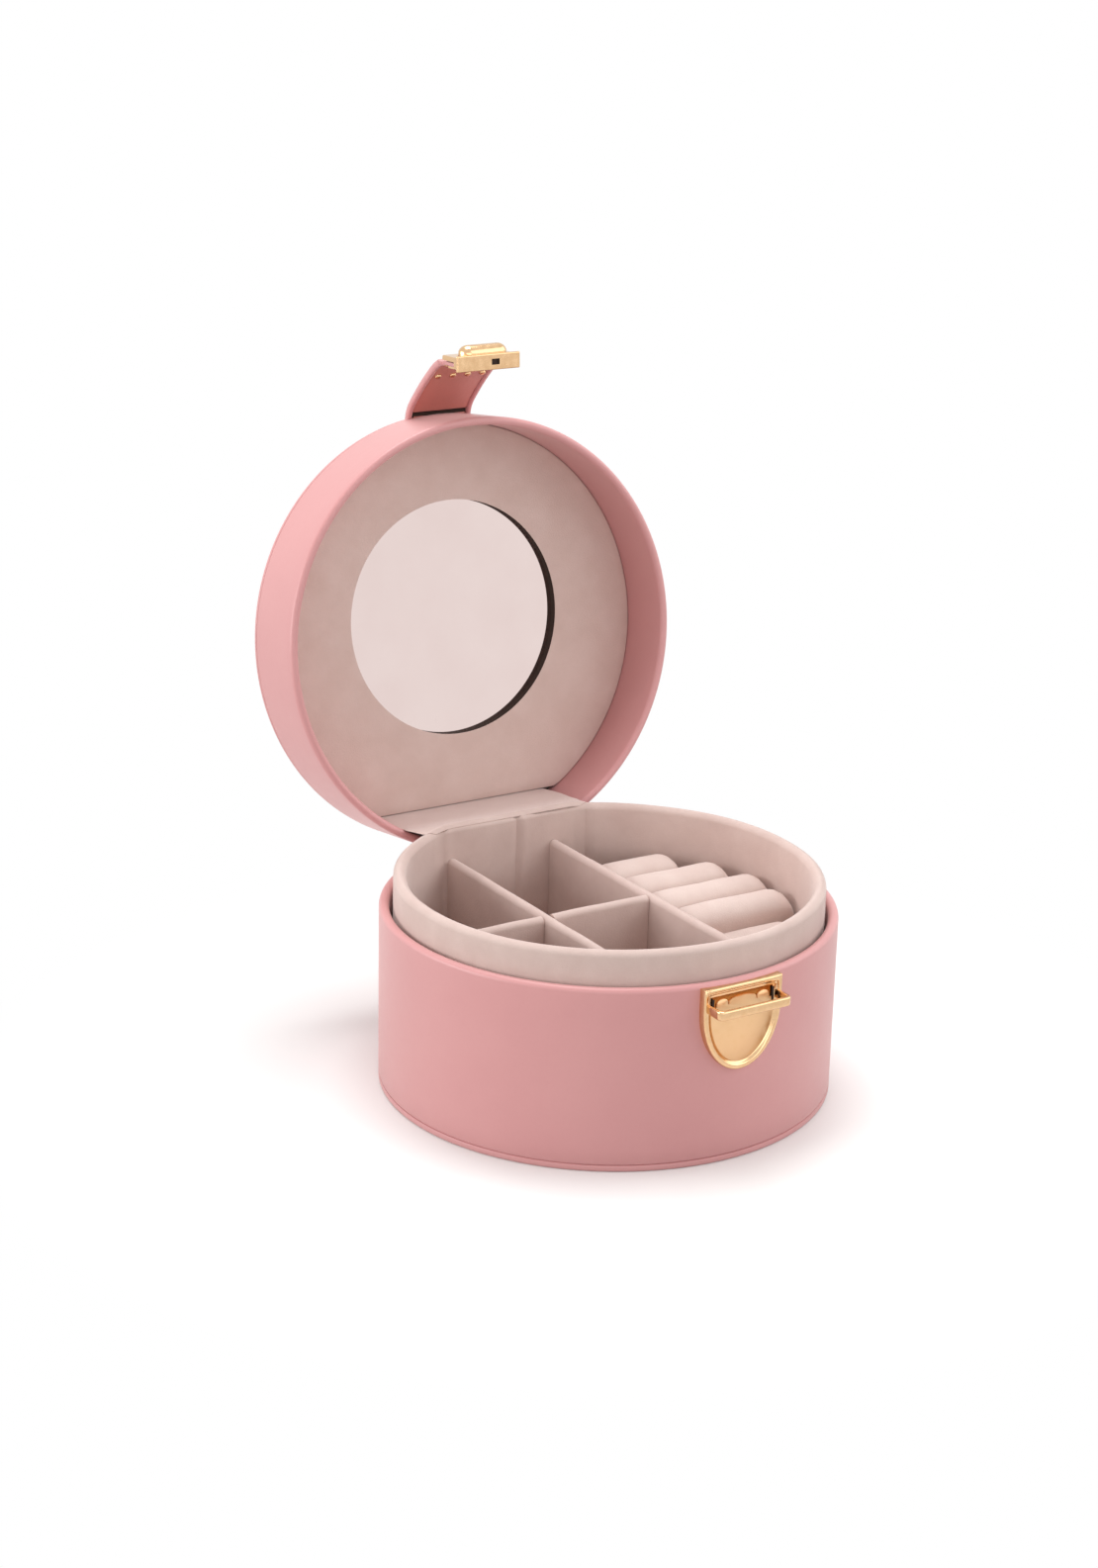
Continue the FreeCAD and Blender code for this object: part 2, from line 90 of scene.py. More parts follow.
# Dividers and rolls
DIVIDER = 3.0
DIVIDER_TOP = 48.5
DIVIDER_HEIGHTS = (FLOOR, 18, 32, 42)
DIVIDER_GAP = 0.1
CROSS_GAP = 0.15
LEFT_X = -19.0
RIGHT_X = 13.5
CROSS_Y = 0.3
ROLLS = 6
ROLL_PITCH = 12.4
ROLL_SHIFT = -2.5
ROLL_CREST = 46.5
ROLL_RISE = 5.4
ROLL_GAP = 0.2
ROLL_END_GAP = 0.25
ROLL_SIDES = ((0.0, FLOOR), (0.25, 16), (0.1, 28))  # how far the sides are drawn in, and the height
FRONT_ROLLS = 2
FRONT_ROLL_SINK = 4.2  # the front rolls lie below the line of sight over the collar

# Lid, in its closed place
RIM_Z = 49.3
HINGE_Z = 49.15
OPEN_ANGLE = math.radians(97.8)
LID_DEPTH = 22.6
LID_SEAM = 20.5
LID_WALL = 2.3
LID_BOARD_FACE = 0.6
LID_RIM_ROUND = 1.12
LID_HEIGHTS = (4, 10, 16)
LID_TURNED_IN = 19
LID_EDGE_ROUND = 1.5
SURROUND_FACE = 17.0
SURROUND_BACK = 17.7
SURROUND_FLAT = 48.6
SURROUND_GAP = 0.12
MIRROR_Y = -3.6
MIRROR_HOLE = 32.5
MIRROR_STEPS = 160

# Fabric hinge
SHEET = 0.6
STRIP_HALF = 17.0
STRIP_REACH = 16.0
STRIP_OFF = 0.32

# Strap and clasp
STRAP_ROOT = (-60.45, 69.35)
STRAP_LENGTH = 24.0
STRAP_LIFT = math.radians(37.0)
STRAP_BOW = 0.9
CLASP_LIFT = math.radians(-5.0)
CLASP_HALF = 9.4
CLASP_START = 1.2
CLASP_LENGTH = 9.5
CLASP_BELOW = 1.42
CLASP_ABOVE = 1.78
CLASP_LIP = 0.55
BUTTON_HALF = 7.0
BUTTON_LENGTH = 5.0
BUTTON_GAP = 0.15
BUTTON_END_GAP = 0.65
BUTTON_MIDDLE = CLASP_LENGTH - BUTTON_END_GAP - BUTTON_LENGTH / 2
PRONGS = (-6.9, -2.3, 2.3, 6.9)
SPRING_HALF = 5.0
SPRING_WIDTH_HALF = 1.5
SPRING_STRIP = 0.2
SPRING_FLOOR = -0.9
SPRING_RISE = 1.45

# Lock plate on the base
PLATE_HALF = 11.65
PLATE_FOOT = 25.1
PLATE_TOP = 48.2
PLATE_TAPER = 16.5
PLATE_FACE = CASE_RADIUS + 0.8
PLATE_FRAME = 2.1
BAR_INNER = 9.8
BAR_OUTER = 10.9
BAR_BACK = CASE_RADIUS + 5.6
BAR_FRONT = BAR_BACK + 1.2
BAR_LOW = 42.0
BAR_HIGH = 44.4
LEG_X = 9.0

# Camera, fitted to the photograph's outlines
PHOTO = (1110, 1585)
CAMERA_AZIMUTH = math.radians(-33.69)
CAMERA_HEIGHT = math.radians(20.21)
CAMERA_ROLL = math.radians(1.79)
CAMERA_DISTANCE = 760.3
CAMERA_TARGET = Vector((0, 0, 60.0))
FOCAL_PIXELS = 2955.2
OPTICAL_CENTRE = (616.8, 871.0)

# Colour sockets of a Mix node
COLOUR_A = 6
COLOUR_B = 7
COLOUR_OUT = 2


# Materials
def linear(hex_colour):
    """sRGB hex to linear RGBA."""
    values = []
    for start in (1, 3, 5):
        c = int(hex_colour[start:start + 2], 16) / 255
        values.append(c / 12.92 if c <= 0.04045 else ((c + 0.055) / 1.055) ** 2.4)
    return (*values, 1.0)


def add(tree, kind, inputs=None, **settings):
    """Add a node with its settings and links."""
    made = tree.nodes.new(kind)
    for name, value in settings.items():
        setattr(made, name, value)
    for name, value in (inputs or {}).items():
        socket = made.inputs[name]
        if isinstance(value, bpy.types.NodeSocket):
            tree.links.new(value, socket)
        else:
            socket.default_value = value
    return made


def begin(name):
    """New material with its shader and millimetre coordinates."""
    material = bpy.data.materials.new(name)
    material.use_nodes = True
    tree = material.node_tree
    shader = tree.nodes["Principled BSDF"]
    place = add(tree, "ShaderNodeTexCoord")
    millimetres = add(tree, "ShaderNodeVectorMath", {0: place.outputs["Object"], 1: (1 / MM,) * 3},
                      operation="MULTIPLY")
    return material, tree, shader, millimetres.outputs[0]


def constant(shader, values):
    """Set what is the same all over the surface on the shader's own sockets."""
    for socket, value in values.items():
        shader.inputs[socket].default_value = value


def leatherette(name, dark, light, roughness):
    """PU leatherette, embossed under a thin satin top coat: a fine pebble grain with soft pale highlights."""
    material, tree, shader, mm = begin(name)
    grain_mm = 0.8  # real pebbles are about 0.5 mm; drawn coarser so that they show
    crease_mm = 2.4
    drift_mm = 26.0
    drift = add(tree, "ShaderNodeTexNoise",
                {"Vector": mm, "Scale": 1 / drift_mm, "Detail": 3.0, "Roughness": 0.55})
    pebble = add(tree, "ShaderNodeTexVoronoi", {"Vector": mm, "Scale": 1 / grain_mm, "Randomness": 0.9},
                 feature="SMOOTH_F1")
    crease = add(tree, "ShaderNodeTexNoise", {"Vector": mm, "Scale": 1 / crease_mm, "Detail": 4.0})
    tone = add(tree, "ShaderNodeMix",
               {"Factor": drift.outputs["Fac"], COLOUR_A: linear(dark), COLOUR_B: linear(light)},
               data_type="RGBA")
    pores = add(tree, "ShaderNodeMapRange",
                {"Value": pebble.outputs["Distance"], "From Min": 0.35, "From Max": 0.8,
                 "To Min": 0.0, "To Max": 0.16})
    colour = add(tree, "ShaderNodeMix",
                 {"Factor": pores.outputs[0], COLOUR_A: tone.outputs[COLOUR_OUT], COLOUR_B: linear(dark)},
                 data_type="RGBA")
    gloss = add(tree, "ShaderNodeMapRange",
                {"Value": crease.outputs["Fac"], "To Min": roughness - 0.06, "To Max": roughness + 0.08})
    height = add(tree, "ShaderNodeMath", {0: pebble.outputs["Distance"], 1: crease.outputs["Fac"]},
                 operation="ADD")
    bump = add(tree, "ShaderNodeBump",
               {"Height": height.outputs[0], "Strength": 0.10, "Distance": 0.2 * MM}, invert=True)
    tree.links.new(colour.outputs[COLOUR_OUT], shader.inputs["Base Color"])
    tree.links.new(gloss.outputs[0], shader.inputs["Roughness"])
    tree.links.new(bump.outputs[0], shader.inputs["Normal"])
    constant(shader, {"IOR": 1.48, "Coat Weight": 0.2, "Coat Roughness": 0.4, "Sheen Weight": 0.4,
                      "Sheen Roughness": 0.45, "Sheen Tint": linear("#F6D9D6")})
    return material


def velvet(name, dark, light, sheen):
    """Flocked velvet: short upright pile, soft and matt, paler where it is seen edge on."""
    material, tree, shader, mm = begin(name)
    pile_mm = 0.35  # flock fibres are finer than this; drawn coarser so that the nap shows
    patch_mm = 9.0
    brushed = add(tree, "ShaderNodeTexNoise",
                  {"Vector": mm, "Scale": 1 / patch_mm, "Detail": 4.0, "Roughness": 0.6})
    nap = add(tree, "ShaderNodeTexNoise",
              {"Vector": mm, "Scale": 1 / pile_mm, "Detail": 2.0, "Roughness": 0.7})
    patch = add(tree, "ShaderNodeMapRange",
                {"Value": brushed.outputs["Fac"], "From Min": 0.3, "From Max": 0.7})
    tone = add(tree, "ShaderNodeMix",
               {"Factor": patch.outputs[0], COLOUR_A: linear(dark), COLOUR_B: linear(light)},
               data_type="RGBA")
    speck = add(tree, "ShaderNodeMapRange",
                {"Value": nap.outputs["Fac"], "From Min": 0.3, "From Max": 0.7,
                 "To Min": 0.0, "To Max": 0.32})
    colour = add(tree, "ShaderNodeMix",
                 {"Factor": speck.outputs[0], COLOUR_A: tone.outputs[COLOUR_OUT], COLOUR_B: linear(dark)},
                 data_type="RGBA")
    bump = add(tree, "ShaderNodeBump",
               {"Height": nap.outputs["Fac"], "Strength": 0.35, "Distance": 0.3 * MM})
    tree.links.new(colour.outputs[COLOUR_OUT], shader.inputs["Base Color"])
    tree.links.new(bump.outputs[0], shader.inputs["Normal"])
    constant(shader, {"Roughness": 0.95, "Specular IOR Level": 0.15, "Sheen Weight": sheen,
                      "Sheen Roughness": 0.35, "Sheen Tint": linear("#FBEDE8")})
    return material


def plated_gold(name, dark, light, roughness=0.13):
    """Zinc alloy, die cast, polished and gold plated: bright, with faint polishing haze."""
    material, tree, shader, mm = begin(name)
    haze_mm = 1.8
    haze = add(tree, "ShaderNodeTexNoise", {"Vector": mm, "Scale": 1 / haze_mm, "Detail": 5.0})
    rub = add(tree, "ShaderNodeMapRange",
              {"Value": haze.outputs["Fac"], "From Min": 0.3, "From Max": 0.7,
               "To Min": roughness, "To Max": 2 * roughness})
    tone = add(tree, "ShaderNodeMix",
               {"Factor": haze.outputs["Fac"], COLOUR_A: linear(dark), COLOUR_B: linear(light)},
               data_type="RGBA")
    tree.links.new(tone.outputs[COLOUR_OUT], shader.inputs["Base Color"])
    tree.links.new(rub.outputs[0], shader.inputs["Roughness"])
    constant(shader, {"Metallic": 1.0})
    return material


def spring_steel():
    """Rolled spring strip: grey, with a finely rubbed finish."""
    material, tree, shader, mm = begin("spring_steel")
    rub_mm = 0.4
    lines = add(tree, "ShaderNodeTexNoise", {"Vector": mm, "Scale": 1 / rub_mm, "Detail": 3.0})
    rub = add(tree, "ShaderNodeMapRange", {"Value": lines.outputs["Fac"], "To Min": 0.25, "To Max": 0.5})
    tree.links.new(rub.outputs[0], shader.inputs["Roughness"])
    constant(shader, {"Base Color": linear("#A8A8AC"), "Metallic": 1.0})
    return material


def silvered_glass():
    """Float glass, silvered behind: a clean mirror with a trace of dust, its pale pink colour a painted
    reflection of the pink case round it.
    """
    material, tree, shader, mm = begin("silvered_glass")
    dust_mm = 14.0
    dust = add(tree, "ShaderNodeTexNoise", {"Vector": mm, "Scale": 1 / dust_mm, "Detail": 6.0})
    film = add(tree, "ShaderNodeMapRange", {"Value": dust.outputs["Fac"], "To Min": 0.015, "To Max": 0.05})
    # pale pink colour: painted reflection of the case, mottled with the dust
    painted_reflection = add(tree, "ShaderNodeMix",
               {"Factor": dust.outputs["Fac"], COLOUR_A: linear("#E3CFCB"), COLOUR_B: linear("#EAD9D5")},
               data_type="RGBA")
    tree.links.new(painted_reflection.outputs[COLOUR_OUT], shader.inputs["Base Color"])
    tree.links.new(film.outputs[0], shader.inputs["Roughness"])
    constant(shader, {"Metallic": 1.0})
    return material


def pulp_board(name, dark, light):
    """Pressed grey board: fibrous and matt."""
    material, tree, shader, mm = begin(name)
    fibre_mm = 0.7
    fibre = add(tree, "ShaderNodeTexNoise",
                {"Vector": mm, "Scale": 1 / fibre_mm, "Detail": 5.0, "Roughness": 0.7})
    tone = add(tree, "ShaderNodeMix",
               {"Factor": fibre.outputs["Fac"], COLOUR_A: linear(dark), COLOUR_B: linear(light)},
               data_type="RGBA")
    bump = add(tree, "ShaderNodeBump",
               {"Height": fibre.outputs["Fac"], "Strength": 0.3, "Distance": 0.2 * MM})
    tree.links.new(tone.outputs[COLOUR_OUT], shader.inputs["Base Color"])
    tree.links.new(bump.outputs[0], shader.inputs["Normal"])
    constant(shader, {"Roughness": 0.9})
    return material


PINK = leatherette("pink_leatherette", "#CF9090", "#D89C9B", 0.42)
# the pink leatherette drawn darker and redder: painted shade for the strap's shaded inner ply
PINK_PAINTED_SHADE = leatherette("pink_leatherette_painted_shade", "#C2756A", "#CC8074", 0.5)
LINING = velvet("dusty_pink_velvet", "#D0B8B0", "#DAC4BC", 1.0)
# the lining velvet drawn paler: painted light on the lit tops of the ring rolls
ROLL_VELVET_PAINTED_LIGHT = velvet("pink_velvet_painted_lighter", "#DAC4BC", "#E3D0C8", 1.0)
SURROUND = velvet("mirror_surround_velvet", "#D5BAB1", "#DDC4BC", 0.35)
GOLD = plated_gold("plated_gold", "#D9AD7E", "#E8C59C")
GOLD_SATIN = plated_gold("satin_gold", "#D9AD7E", "#E8C59C", 0.28)
# the gold drawn dark and brown: painted shade and painted reflection of the bar and leather in the plate's
# sunk field
GOLD_SHADE = plated_gold("plated_gold_painted_shade_and_reflection", "#A0602C", "#B8783C")
STEEL = spring_steel()
GLASS = silvered_glass()
BOARD = pulp_board("grey_board", "#7F756C", "#938A80")
# near-black board: partly the bare cut edge of board, partly painted shade in creases, slots and gaps
RAW_EDGE_AND_SHADE = pulp_board("raw_board_edge_and_painted_shade", "#24160F", "#3A271C")


# Mesh helpers
def outline(radius):
    """Points and outward normals of the case outline, counter-clockwise from the right corner."""
    across = math.sqrt((radius - CORNER) ** 2 - (FLAT_BACK - CORNER) ** 2)
    rise = FLAT_BACK - CORNER
    touch = math.atan2(rise, across)
    found = []
    for i in range(CORNER_STEPS):
        a = touch + (math.pi / 2 - touch) * i / CORNER_STEPS
        n = Vector((math.cos(a), math.sin(a)))
        found.append((Vector((across, rise)) + n * CORNER, n))
    for i in range(FLAT_STEPS):
        x = across * (1 - 2 * i / FLAT_STEPS)
        found.append((Vector((x, FLAT_BACK)), Vector((0, 1))))
    for i in range(CORNER_STEPS):
        a = math.pi / 2 + (math.pi / 2 - touch) * i / CORNER_STEPS
        n = Vector((math.cos(a), math.sin(a)))
        found.append((Vector((-across, rise)) + n * CORNER, n))
    sweep = math.pi + 2 * touch
    for i in range(ROUND_STEPS):
        a = math.pi - touch + sweep * i / ROUND_STEPS
        n = Vector((math.cos(a), math.sin(a)))
        found.append((n * radius, n))
    return found


def arc(centre, radius, start, end, steps):
    """Points on an arc in a profile, angles in degrees."""
    found = []
    for i in range(steps + 1):
        a = math.radians(start + (end - start) * i / steps)
        found.append((centre[0] + radius * math.cos(a), centre[1] + radius * math.sin(a)))
    return found


def opened(y, z):
    """Where a (y, z) of the closed lid lies on the open one."""
    out = y - FLAT_BACK
    up = z - HINGE_Z
    return (FLAT_BACK + out * math.cos(OPEN_ANGLE) + up * math.sin(OPEN_ANGLE),
            HINGE_Z - out * math.sin(OPEN_ANGLE) + up * math.cos(OPEN_ANGLE))


def open_all(points):
    """Swing points of the closed lid open."""
    return [Vector((p[0], *opened(p[1], p[2]))) for p in points]


def skin(rings, closed_ring=True, closed_stack=False, cap_first=False, cap_last=False):
    """Points and faces through a stack of equal rings."""
    count = len(rings[0])
    points = [p for ring in rings for p in ring]
    faces = []
    stacks = len(rings) if closed_stack else len(rings) - 1
    around = count if closed_ring else count - 1
    for k in range(stacks):
        low = k * count
        high = (k + 1) % len(rings) * count
        for i in range(around):
            j = (i + 1) % count
            faces.append((low + i, low + j, high + j, high + i))
    if cap_first:
        faces.append(tuple(reversed(range(count))))
    if cap_last:
        faces.append(tuple(range((len(rings) - 1) * count, len(rings) * count)))
    return points, faces


def swept(profile, radius, base_z=0.0):
    """Closed (inset, height) profile carried round the case outline."""
    around = outline(radius)
    rings = []
    for inset, height in profile:
        rings.append([Vector((*(p - n * inset), base_z + height)) for p, n in around])
    return skin(rings, closed_stack=True)


def dished(profile, radius, middle, base_z=0.0, steps=7):
    """Panel: an open (inset, height) edge profile, then rings that shrink to the middle height."""
    around = outline(radius)
    rings = []
    for inset, height in profile:
        rings.append([Vector((*(p - n * inset), base_z + height)) for p, n in around])
    edge = profile[-1][1]
    last = rings[-1]
    for i in range(1, steps):
        shrink = 1 - i / steps
        height = base_z + edge + (middle - edge) * (1 - shrink ** 2)
        rings.append([Vector((p.x * shrink, p.y * shrink, height)) for p in last])
    return skin(rings, cap_last=True, cap_first=True)


def piece(name, shape, material, sharp=40.0):
    """Mesh object from points in millimetres and faces."""
    points, faces = shape
    mesh = bpy.data.meshes.new(name)
    mesh.from_pydata([Vector(p) * MM for p in points], [], faces)
    build = bmesh.new()
    build.from_mesh(mesh)
    bmesh.ops.recalc_face_normals(build, faces=build.faces)
    build.to_mesh(mesh)
    build.free()
    mesh.polygons.foreach_set("use_smooth", [True] * len(mesh.polygons))
    mesh.set_sharp_from_angle(angle=math.radians(sharp))
    made = bpy.data.objects.new(name, mesh)
    bpy.context.scene.collection.objects.link(made)
    made.data.materials.append(material)
    return made


def fixed(made, body, *nodes):
    """Ride on a body and stand for nodes."""
    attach(made, body)
    if nodes:
        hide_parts(*nodes)
    return made


def wobble(p, size, amount):
    """Small smooth unevenness of hand-covered board, for a place in millimetres."""
    return noise.noise(Vector(p) / size) * amount


# Base shell
def base_shell():
    """Leatherette on the wall, turned in over the rim, and on the bottom panel."""
    inner = WALL_BOARD_FACE + WALL_BOARD
    tuck = BASE_TOP - TURNED_IN
    board_top = BASE_TOP - WALL_BOARD_FACE
    profile = [(WALL_BOARD_FACE, BOTTOM_SEAM + 0.1), (0.45, BOTTOM_SEAM + 0.02), (0.12, BOTTOM_SEAM + 0.25),
               (0.0, BOTTOM_SEAM + 0.7)]
    profile += [(0.0, z) for z in WALL_HEIGHTS]
    crown = BASE_TOP - RIM_ROUND
    profile += arc((RIM_ROUND, crown), RIM_ROUND, 180, 90, RIM_STEPS)
    profile += arc((WALL - RIM_ROUND, crown), RIM_ROUND, 90, 0, RIM_STEPS)
    profile += [(WALL, tuck), (inner, tuck), (inner, board_top), (WALL_BOARD_FACE, board_top)]
    wall = piece("base_wall_cover", swept(profile, CASE_RADIUS), PINK)
    fixed(wall, "base", "base_wall_leather")
    edge = [(0.5, BOTTOM_SEAM), (0.12, BOTTOM_SEAM - 0.15), (0.0, BOTTOM_SEAM - 0.5), (0.0, 0.7)]
    edge += arc((FOOT_ROUND, FOOT_ROUND), FOOT_ROUND, 180, 270, 4)
    edge.append((3.0, 0.0))
    bottom = piece("bottom_panel_cover", dished(edge, CASE_RADIUS, 0.0), PINK)
    fixed(bottom, "base", "bottom_leather")


# Velvet lining of the base
def collar_lining():
    """Velvet over the raised collar, with puckered seams along the back."""
    half = COLLAR_WALL / 2
    middle = COLLAR_IN + half
    crown = COLLAR_TOP - half
    profile = [(COLLAR_IN, z) for z in COLLAR_HEIGHTS]
    crest_steps = 14
    profile += arc((middle, crown), half, 180, 0, crest_steps)
    profile += [(COLLAR_IN + COLLAR_WALL, z) for z in reversed(COLLAR_HEIGHTS)]
    points, faces = swept(profile, CASE_RADIUS)
    around = len(points) // len(profile)
    wave = 0.22
    bead = 0.5 * SEAM_DEPTH
    soft = []
    for index, p in enumerate(points):
        lean = wobble((p.x, p.y, p.z * 0.4), size=17.0, amount=wave)
        if p.y > SEAMS_FROM_Y and profile[index // around][0] > middle:
            lean += sum(SEAM_DEPTH * math.exp(-((p.x - x) / SEAM_WIDTH) ** 2) for x in COLLAR_SEAMS)
            lean -= sum(bead * math.exp(-((p.x - x - BEAD_STEP) / BEAD_WIDTH) ** 2) for x in COLLAR_SEAMS)
        n = Vector((p.x, p.y)).normalized()
        lift = wobble((p.x, p.y, 3.0), size=23.0, amount=wave)
        soft.append(Vector((p.x + n.x * lean, p.y + n.y * lean, p.z + lift)))
    made = piece("collar_velvet_cover", (soft, faces), LINING)
    fixed(made, "base", "collar_velvet")


def floor_lining():
    """Velvet on the floor of the base."""
    edge = [(2.4, FLOOR - 0.7), (2.3, FLOOR - 0.3), (2.6, FLOOR)]
    made = piece("floor_velvet_cover", dished(edge, CASE_RADIUS, FLOOR), LINING)
    fixed(made, "base", "floor_velvet")


def panel_shape(start, end, stations=26):
    """Velvet-covered board between two (x, y) ends: rounded crest, slightly uneven faces."""
    run = Vector(end) - Vector(start)
    side = Vector((-run.y, run.x)).normalized()
    half = DIVIDER / 2
    crown = DIVIDER_TOP - half
    wave = 0.25
    crest_from = 40
    crest_steps = 10
    section = [(-half, z) for z in DIVIDER_HEIGHTS]
    section += [(-x, z) for x, z in arc((0, crown), half, 0, 180, crest_steps)]
    section += [(half, z) for z in reversed(DIVIDER_HEIGHTS)]
    rings = []
    for k in range(stations + 1):
        at = Vector(start) + run * (k / stations)
        ring = []
        for offset, z in section:
            lean = wobble((at.x, at.y, z), size=14.0, amount=wave)
            lift = wobble((at.x, at.y, 60), size=11.0, amount=wave) * (z > crest_from)
            place = at + side * (offset + lean)
            ring.append(Vector((place.x, place.y, z + lift)))
        rings.append(ring)
    return skin(rings, cap_first=True, cap_last=True)


def joined(shapes):
    """Several shapes as one."""
    points = []
    faces = []
    for more_points, more_faces in shapes:
        shift = len(points)
        points += more_points
        faces += [tuple(i + shift for i in face) for face in more_faces]
    return points, faces


def chord_end(offset):
    """How far a divider at an offset from the middle reaches to the round inside of the collar."""
    return math.sqrt(COLLAR_INSIDE ** 2 - (abs(offset) + DIVIDER / 2) ** 2) - DIVIDER_GAP


def divider_set():
    """Two boards from front to back, and one across them in two lengths."""
    back = FLAT_BACK - COLLAR_IN - COLLAR_WALL - DIVIDER_GAP
    for name, x in (("left_divider", LEFT_X), ("right_divider", RIGHT_X)):
        shape = panel_shape((x, -chord_end(x)), (x, min(back, chord_end(x))))
        fixed(piece(name + "_cover", shape, LINING), "base", name)
    half = DIVIDER / 2 + CROSS_GAP
    left = panel_shape((-chord_end(CROSS_Y), CROSS_Y), (LEFT_X - half, CROSS_Y), stations=14)
    right = panel_shape((LEFT_X + half, CROSS_Y), (RIGHT_X - half, CROSS_Y), stations=14)
    made = piece("cross_divider_cover", joined([left, right]), LINING)
    fixed(made, "base", "cross_divider")


def roll_shape(y, top):
    """Foam roll: crowned round top, drawn-in sides and soft ends."""
    half = ROLL_PITCH / 2 - ROLL_GAP
    start = RIGHT_X + DIVIDER / 2 + ROLL_END_GAP
    end = math.sqrt(COLLAR_INSIDE ** 2 - (abs(y) + half) ** 2) - ROLL_GAP
    soft_end = min(4.5, 0.4 * (end - start))
    end_drop = 3.0
    end_narrowing = 0.9
    stations = 22
    crest_steps = 14
    rings = []
    for k in range(stations + 1):
        share = k / stations
        x = start + (end - start) * (0.5 - 0.5 * math.cos(math.pi * share))
        near = min(x - start, end - x)
        soft = 1 - max(0.0, 1 - near / soft_end) ** 2.2
        uneven = wobble((x, y, 9), size=12.0, amount=0.35)
        crest = top - end_drop * (1 - soft) + uneven
        wide = half - end_narrowing * (1 - soft)
        shoulder = crest - ROLL_RISE
        ring = [Vector((x, y - wide + drawn, z)) for drawn, z in ROLL_SIDES]
        for i in range(crest_steps + 1):
            a = math.pi * (1 - i / crest_steps)
            lean = wobble((x, y + 7 * math.cos(a), 21), size=7.0, amount=0.12)
            across = y + wide * math.cos(a) + lean
            ring.append(Vector((x, across, shoulder + ROLL_RISE * math.sin(a) ** 0.85)))
        ring += [Vector((x, y + wide - drawn, z)) for drawn, z in reversed(ROLL_SIDES)]
        rings.append(ring)
    return skin(rings, cap_first=True, cap_last=True)


def ring_rolls():
    """Row of velvet foam rolls that hold rings, on the right."""
    for index in range(ROLLS):
        y = ROLL_PITCH * (index - (ROLLS - 1) / 2) + ROLL_SHIFT
        top = ROLL_CREST - (FRONT_ROLL_SINK if index < FRONT_ROLLS else 0.0)
        node = f"ring_roll_{index + 1}"
        # the rolls wear the paler velvet, which is painted light
        made = piece(node + "_cushion", roll_shape(y, top), ROLL_VELVET_PAINTED_LIGHT, sharp=70)
        fixed(made, "base", node)


# Lid
def lid_shell():
    """Leatherette on the lid's wall, turned in over the rim, and on its top."""
    lining = LID_WALL - LID_BOARD_FACE
    profile = [(LID_BOARD_FACE, LID_SEAM), (0.0, LID_SEAM - 0.25)]
    profile += [(0.0, z) for z in reversed(LID_HEIGHTS)]
    profile += arc((LID_RIM_ROUND, LID_RIM_ROUND), LID_RIM_ROUND, 180, 270, RIM_STEPS)
    profile += arc((LID_WALL - LID_RIM_ROUND, LID_RIM_ROUND), LID_RIM_ROUND, 270, 360, RIM_STEPS)
    profile += [(LID_WALL, z) for z in (*LID_HEIGHTS, LID_TURNED_IN)]
    profile += [(lining, LID_TURNED_IN), (lining, LID_BOARD_FACE), (LID_BOARD_FACE, LID_BOARD_FACE)]
    points, faces = swept(profile, LID_RADIUS, RIM_Z)
    wall = piece("lid_wall_cover", (open_all(points), faces), PINK)
    fixed(wall, "lid", "lid_wall_leather")
    edge = [(LID_BOARD_FACE, LID_SEAM + 0.05), (0.1, LID_SEAM + 0.12), (0.0, LID_SEAM + 0.5)]
    edge += arc((LID_EDGE_ROUND, LID_DEPTH - LID_EDGE_ROUND), LID_EDGE_ROUND, 180, 90, RIM_STEPS)
    edge.append((3.2, LID_DEPTH + 0.1))
    points, faces = dished(edge, LID_RADIUS, LID_DEPTH + 0.5, RIM_Z)
    top = piece("lid_top_cover", (open_all(points), faces), PINK)
    fixed(top, "lid", "lid_top_leather")


def surround_shape():
    """Velvet facing between the lid wall and the round mirror hole, straight along the bottom."""
    inside = LID_RADIUS - LID_WALL - SURROUND_GAP
    face = SURROUND_FACE
    loops = [(0.03, SURROUND_BACK), (0.03, face + 0.3), (0.0, face + 0.14), (0.0, face + 0.1),
             (0.014, face + 0.02), (0.06, face)]
    loops += [(share, face) for share in (0.3, 0.6, 0.9)]
    loops += [(0.975, face), (0.995, face + 0.15), (1.0, face + 0.4), (1.0, SURROUND_BACK)]
    rings = []
    for share, depth in loops:
        ring = []
        for i in range(MIRROR_STEPS):
            a = 2 * math.pi * i / MIRROR_STEPS
            dx = math.cos(a)
            dy = math.sin(a)
            reach = -MIRROR_Y * dy + math.sqrt((MIRROR_Y * dy) ** 2 + inside ** 2 - MIRROR_Y ** 2)
            if dy > 0:
                reach = min(reach, (SURROUND_FLAT - MIRROR_Y) / dy)
            r = MIRROR_HOLE + (reach - MIRROR_HOLE) * share
            ring.append(Vector((r * dx, MIRROR_Y + r * dy, RIM_Z + depth)))
        rings.append(ring)
    return skin(rings, closed_stack=True)


def mirror_surround():
    """Velvet facing round the mirror."""
    points, faces = surround_shape()
    made = piece("mirror_surround_facing", (open_all(points), faces), SURROUND)
    fixed(made, "lid", "surround_velvet")


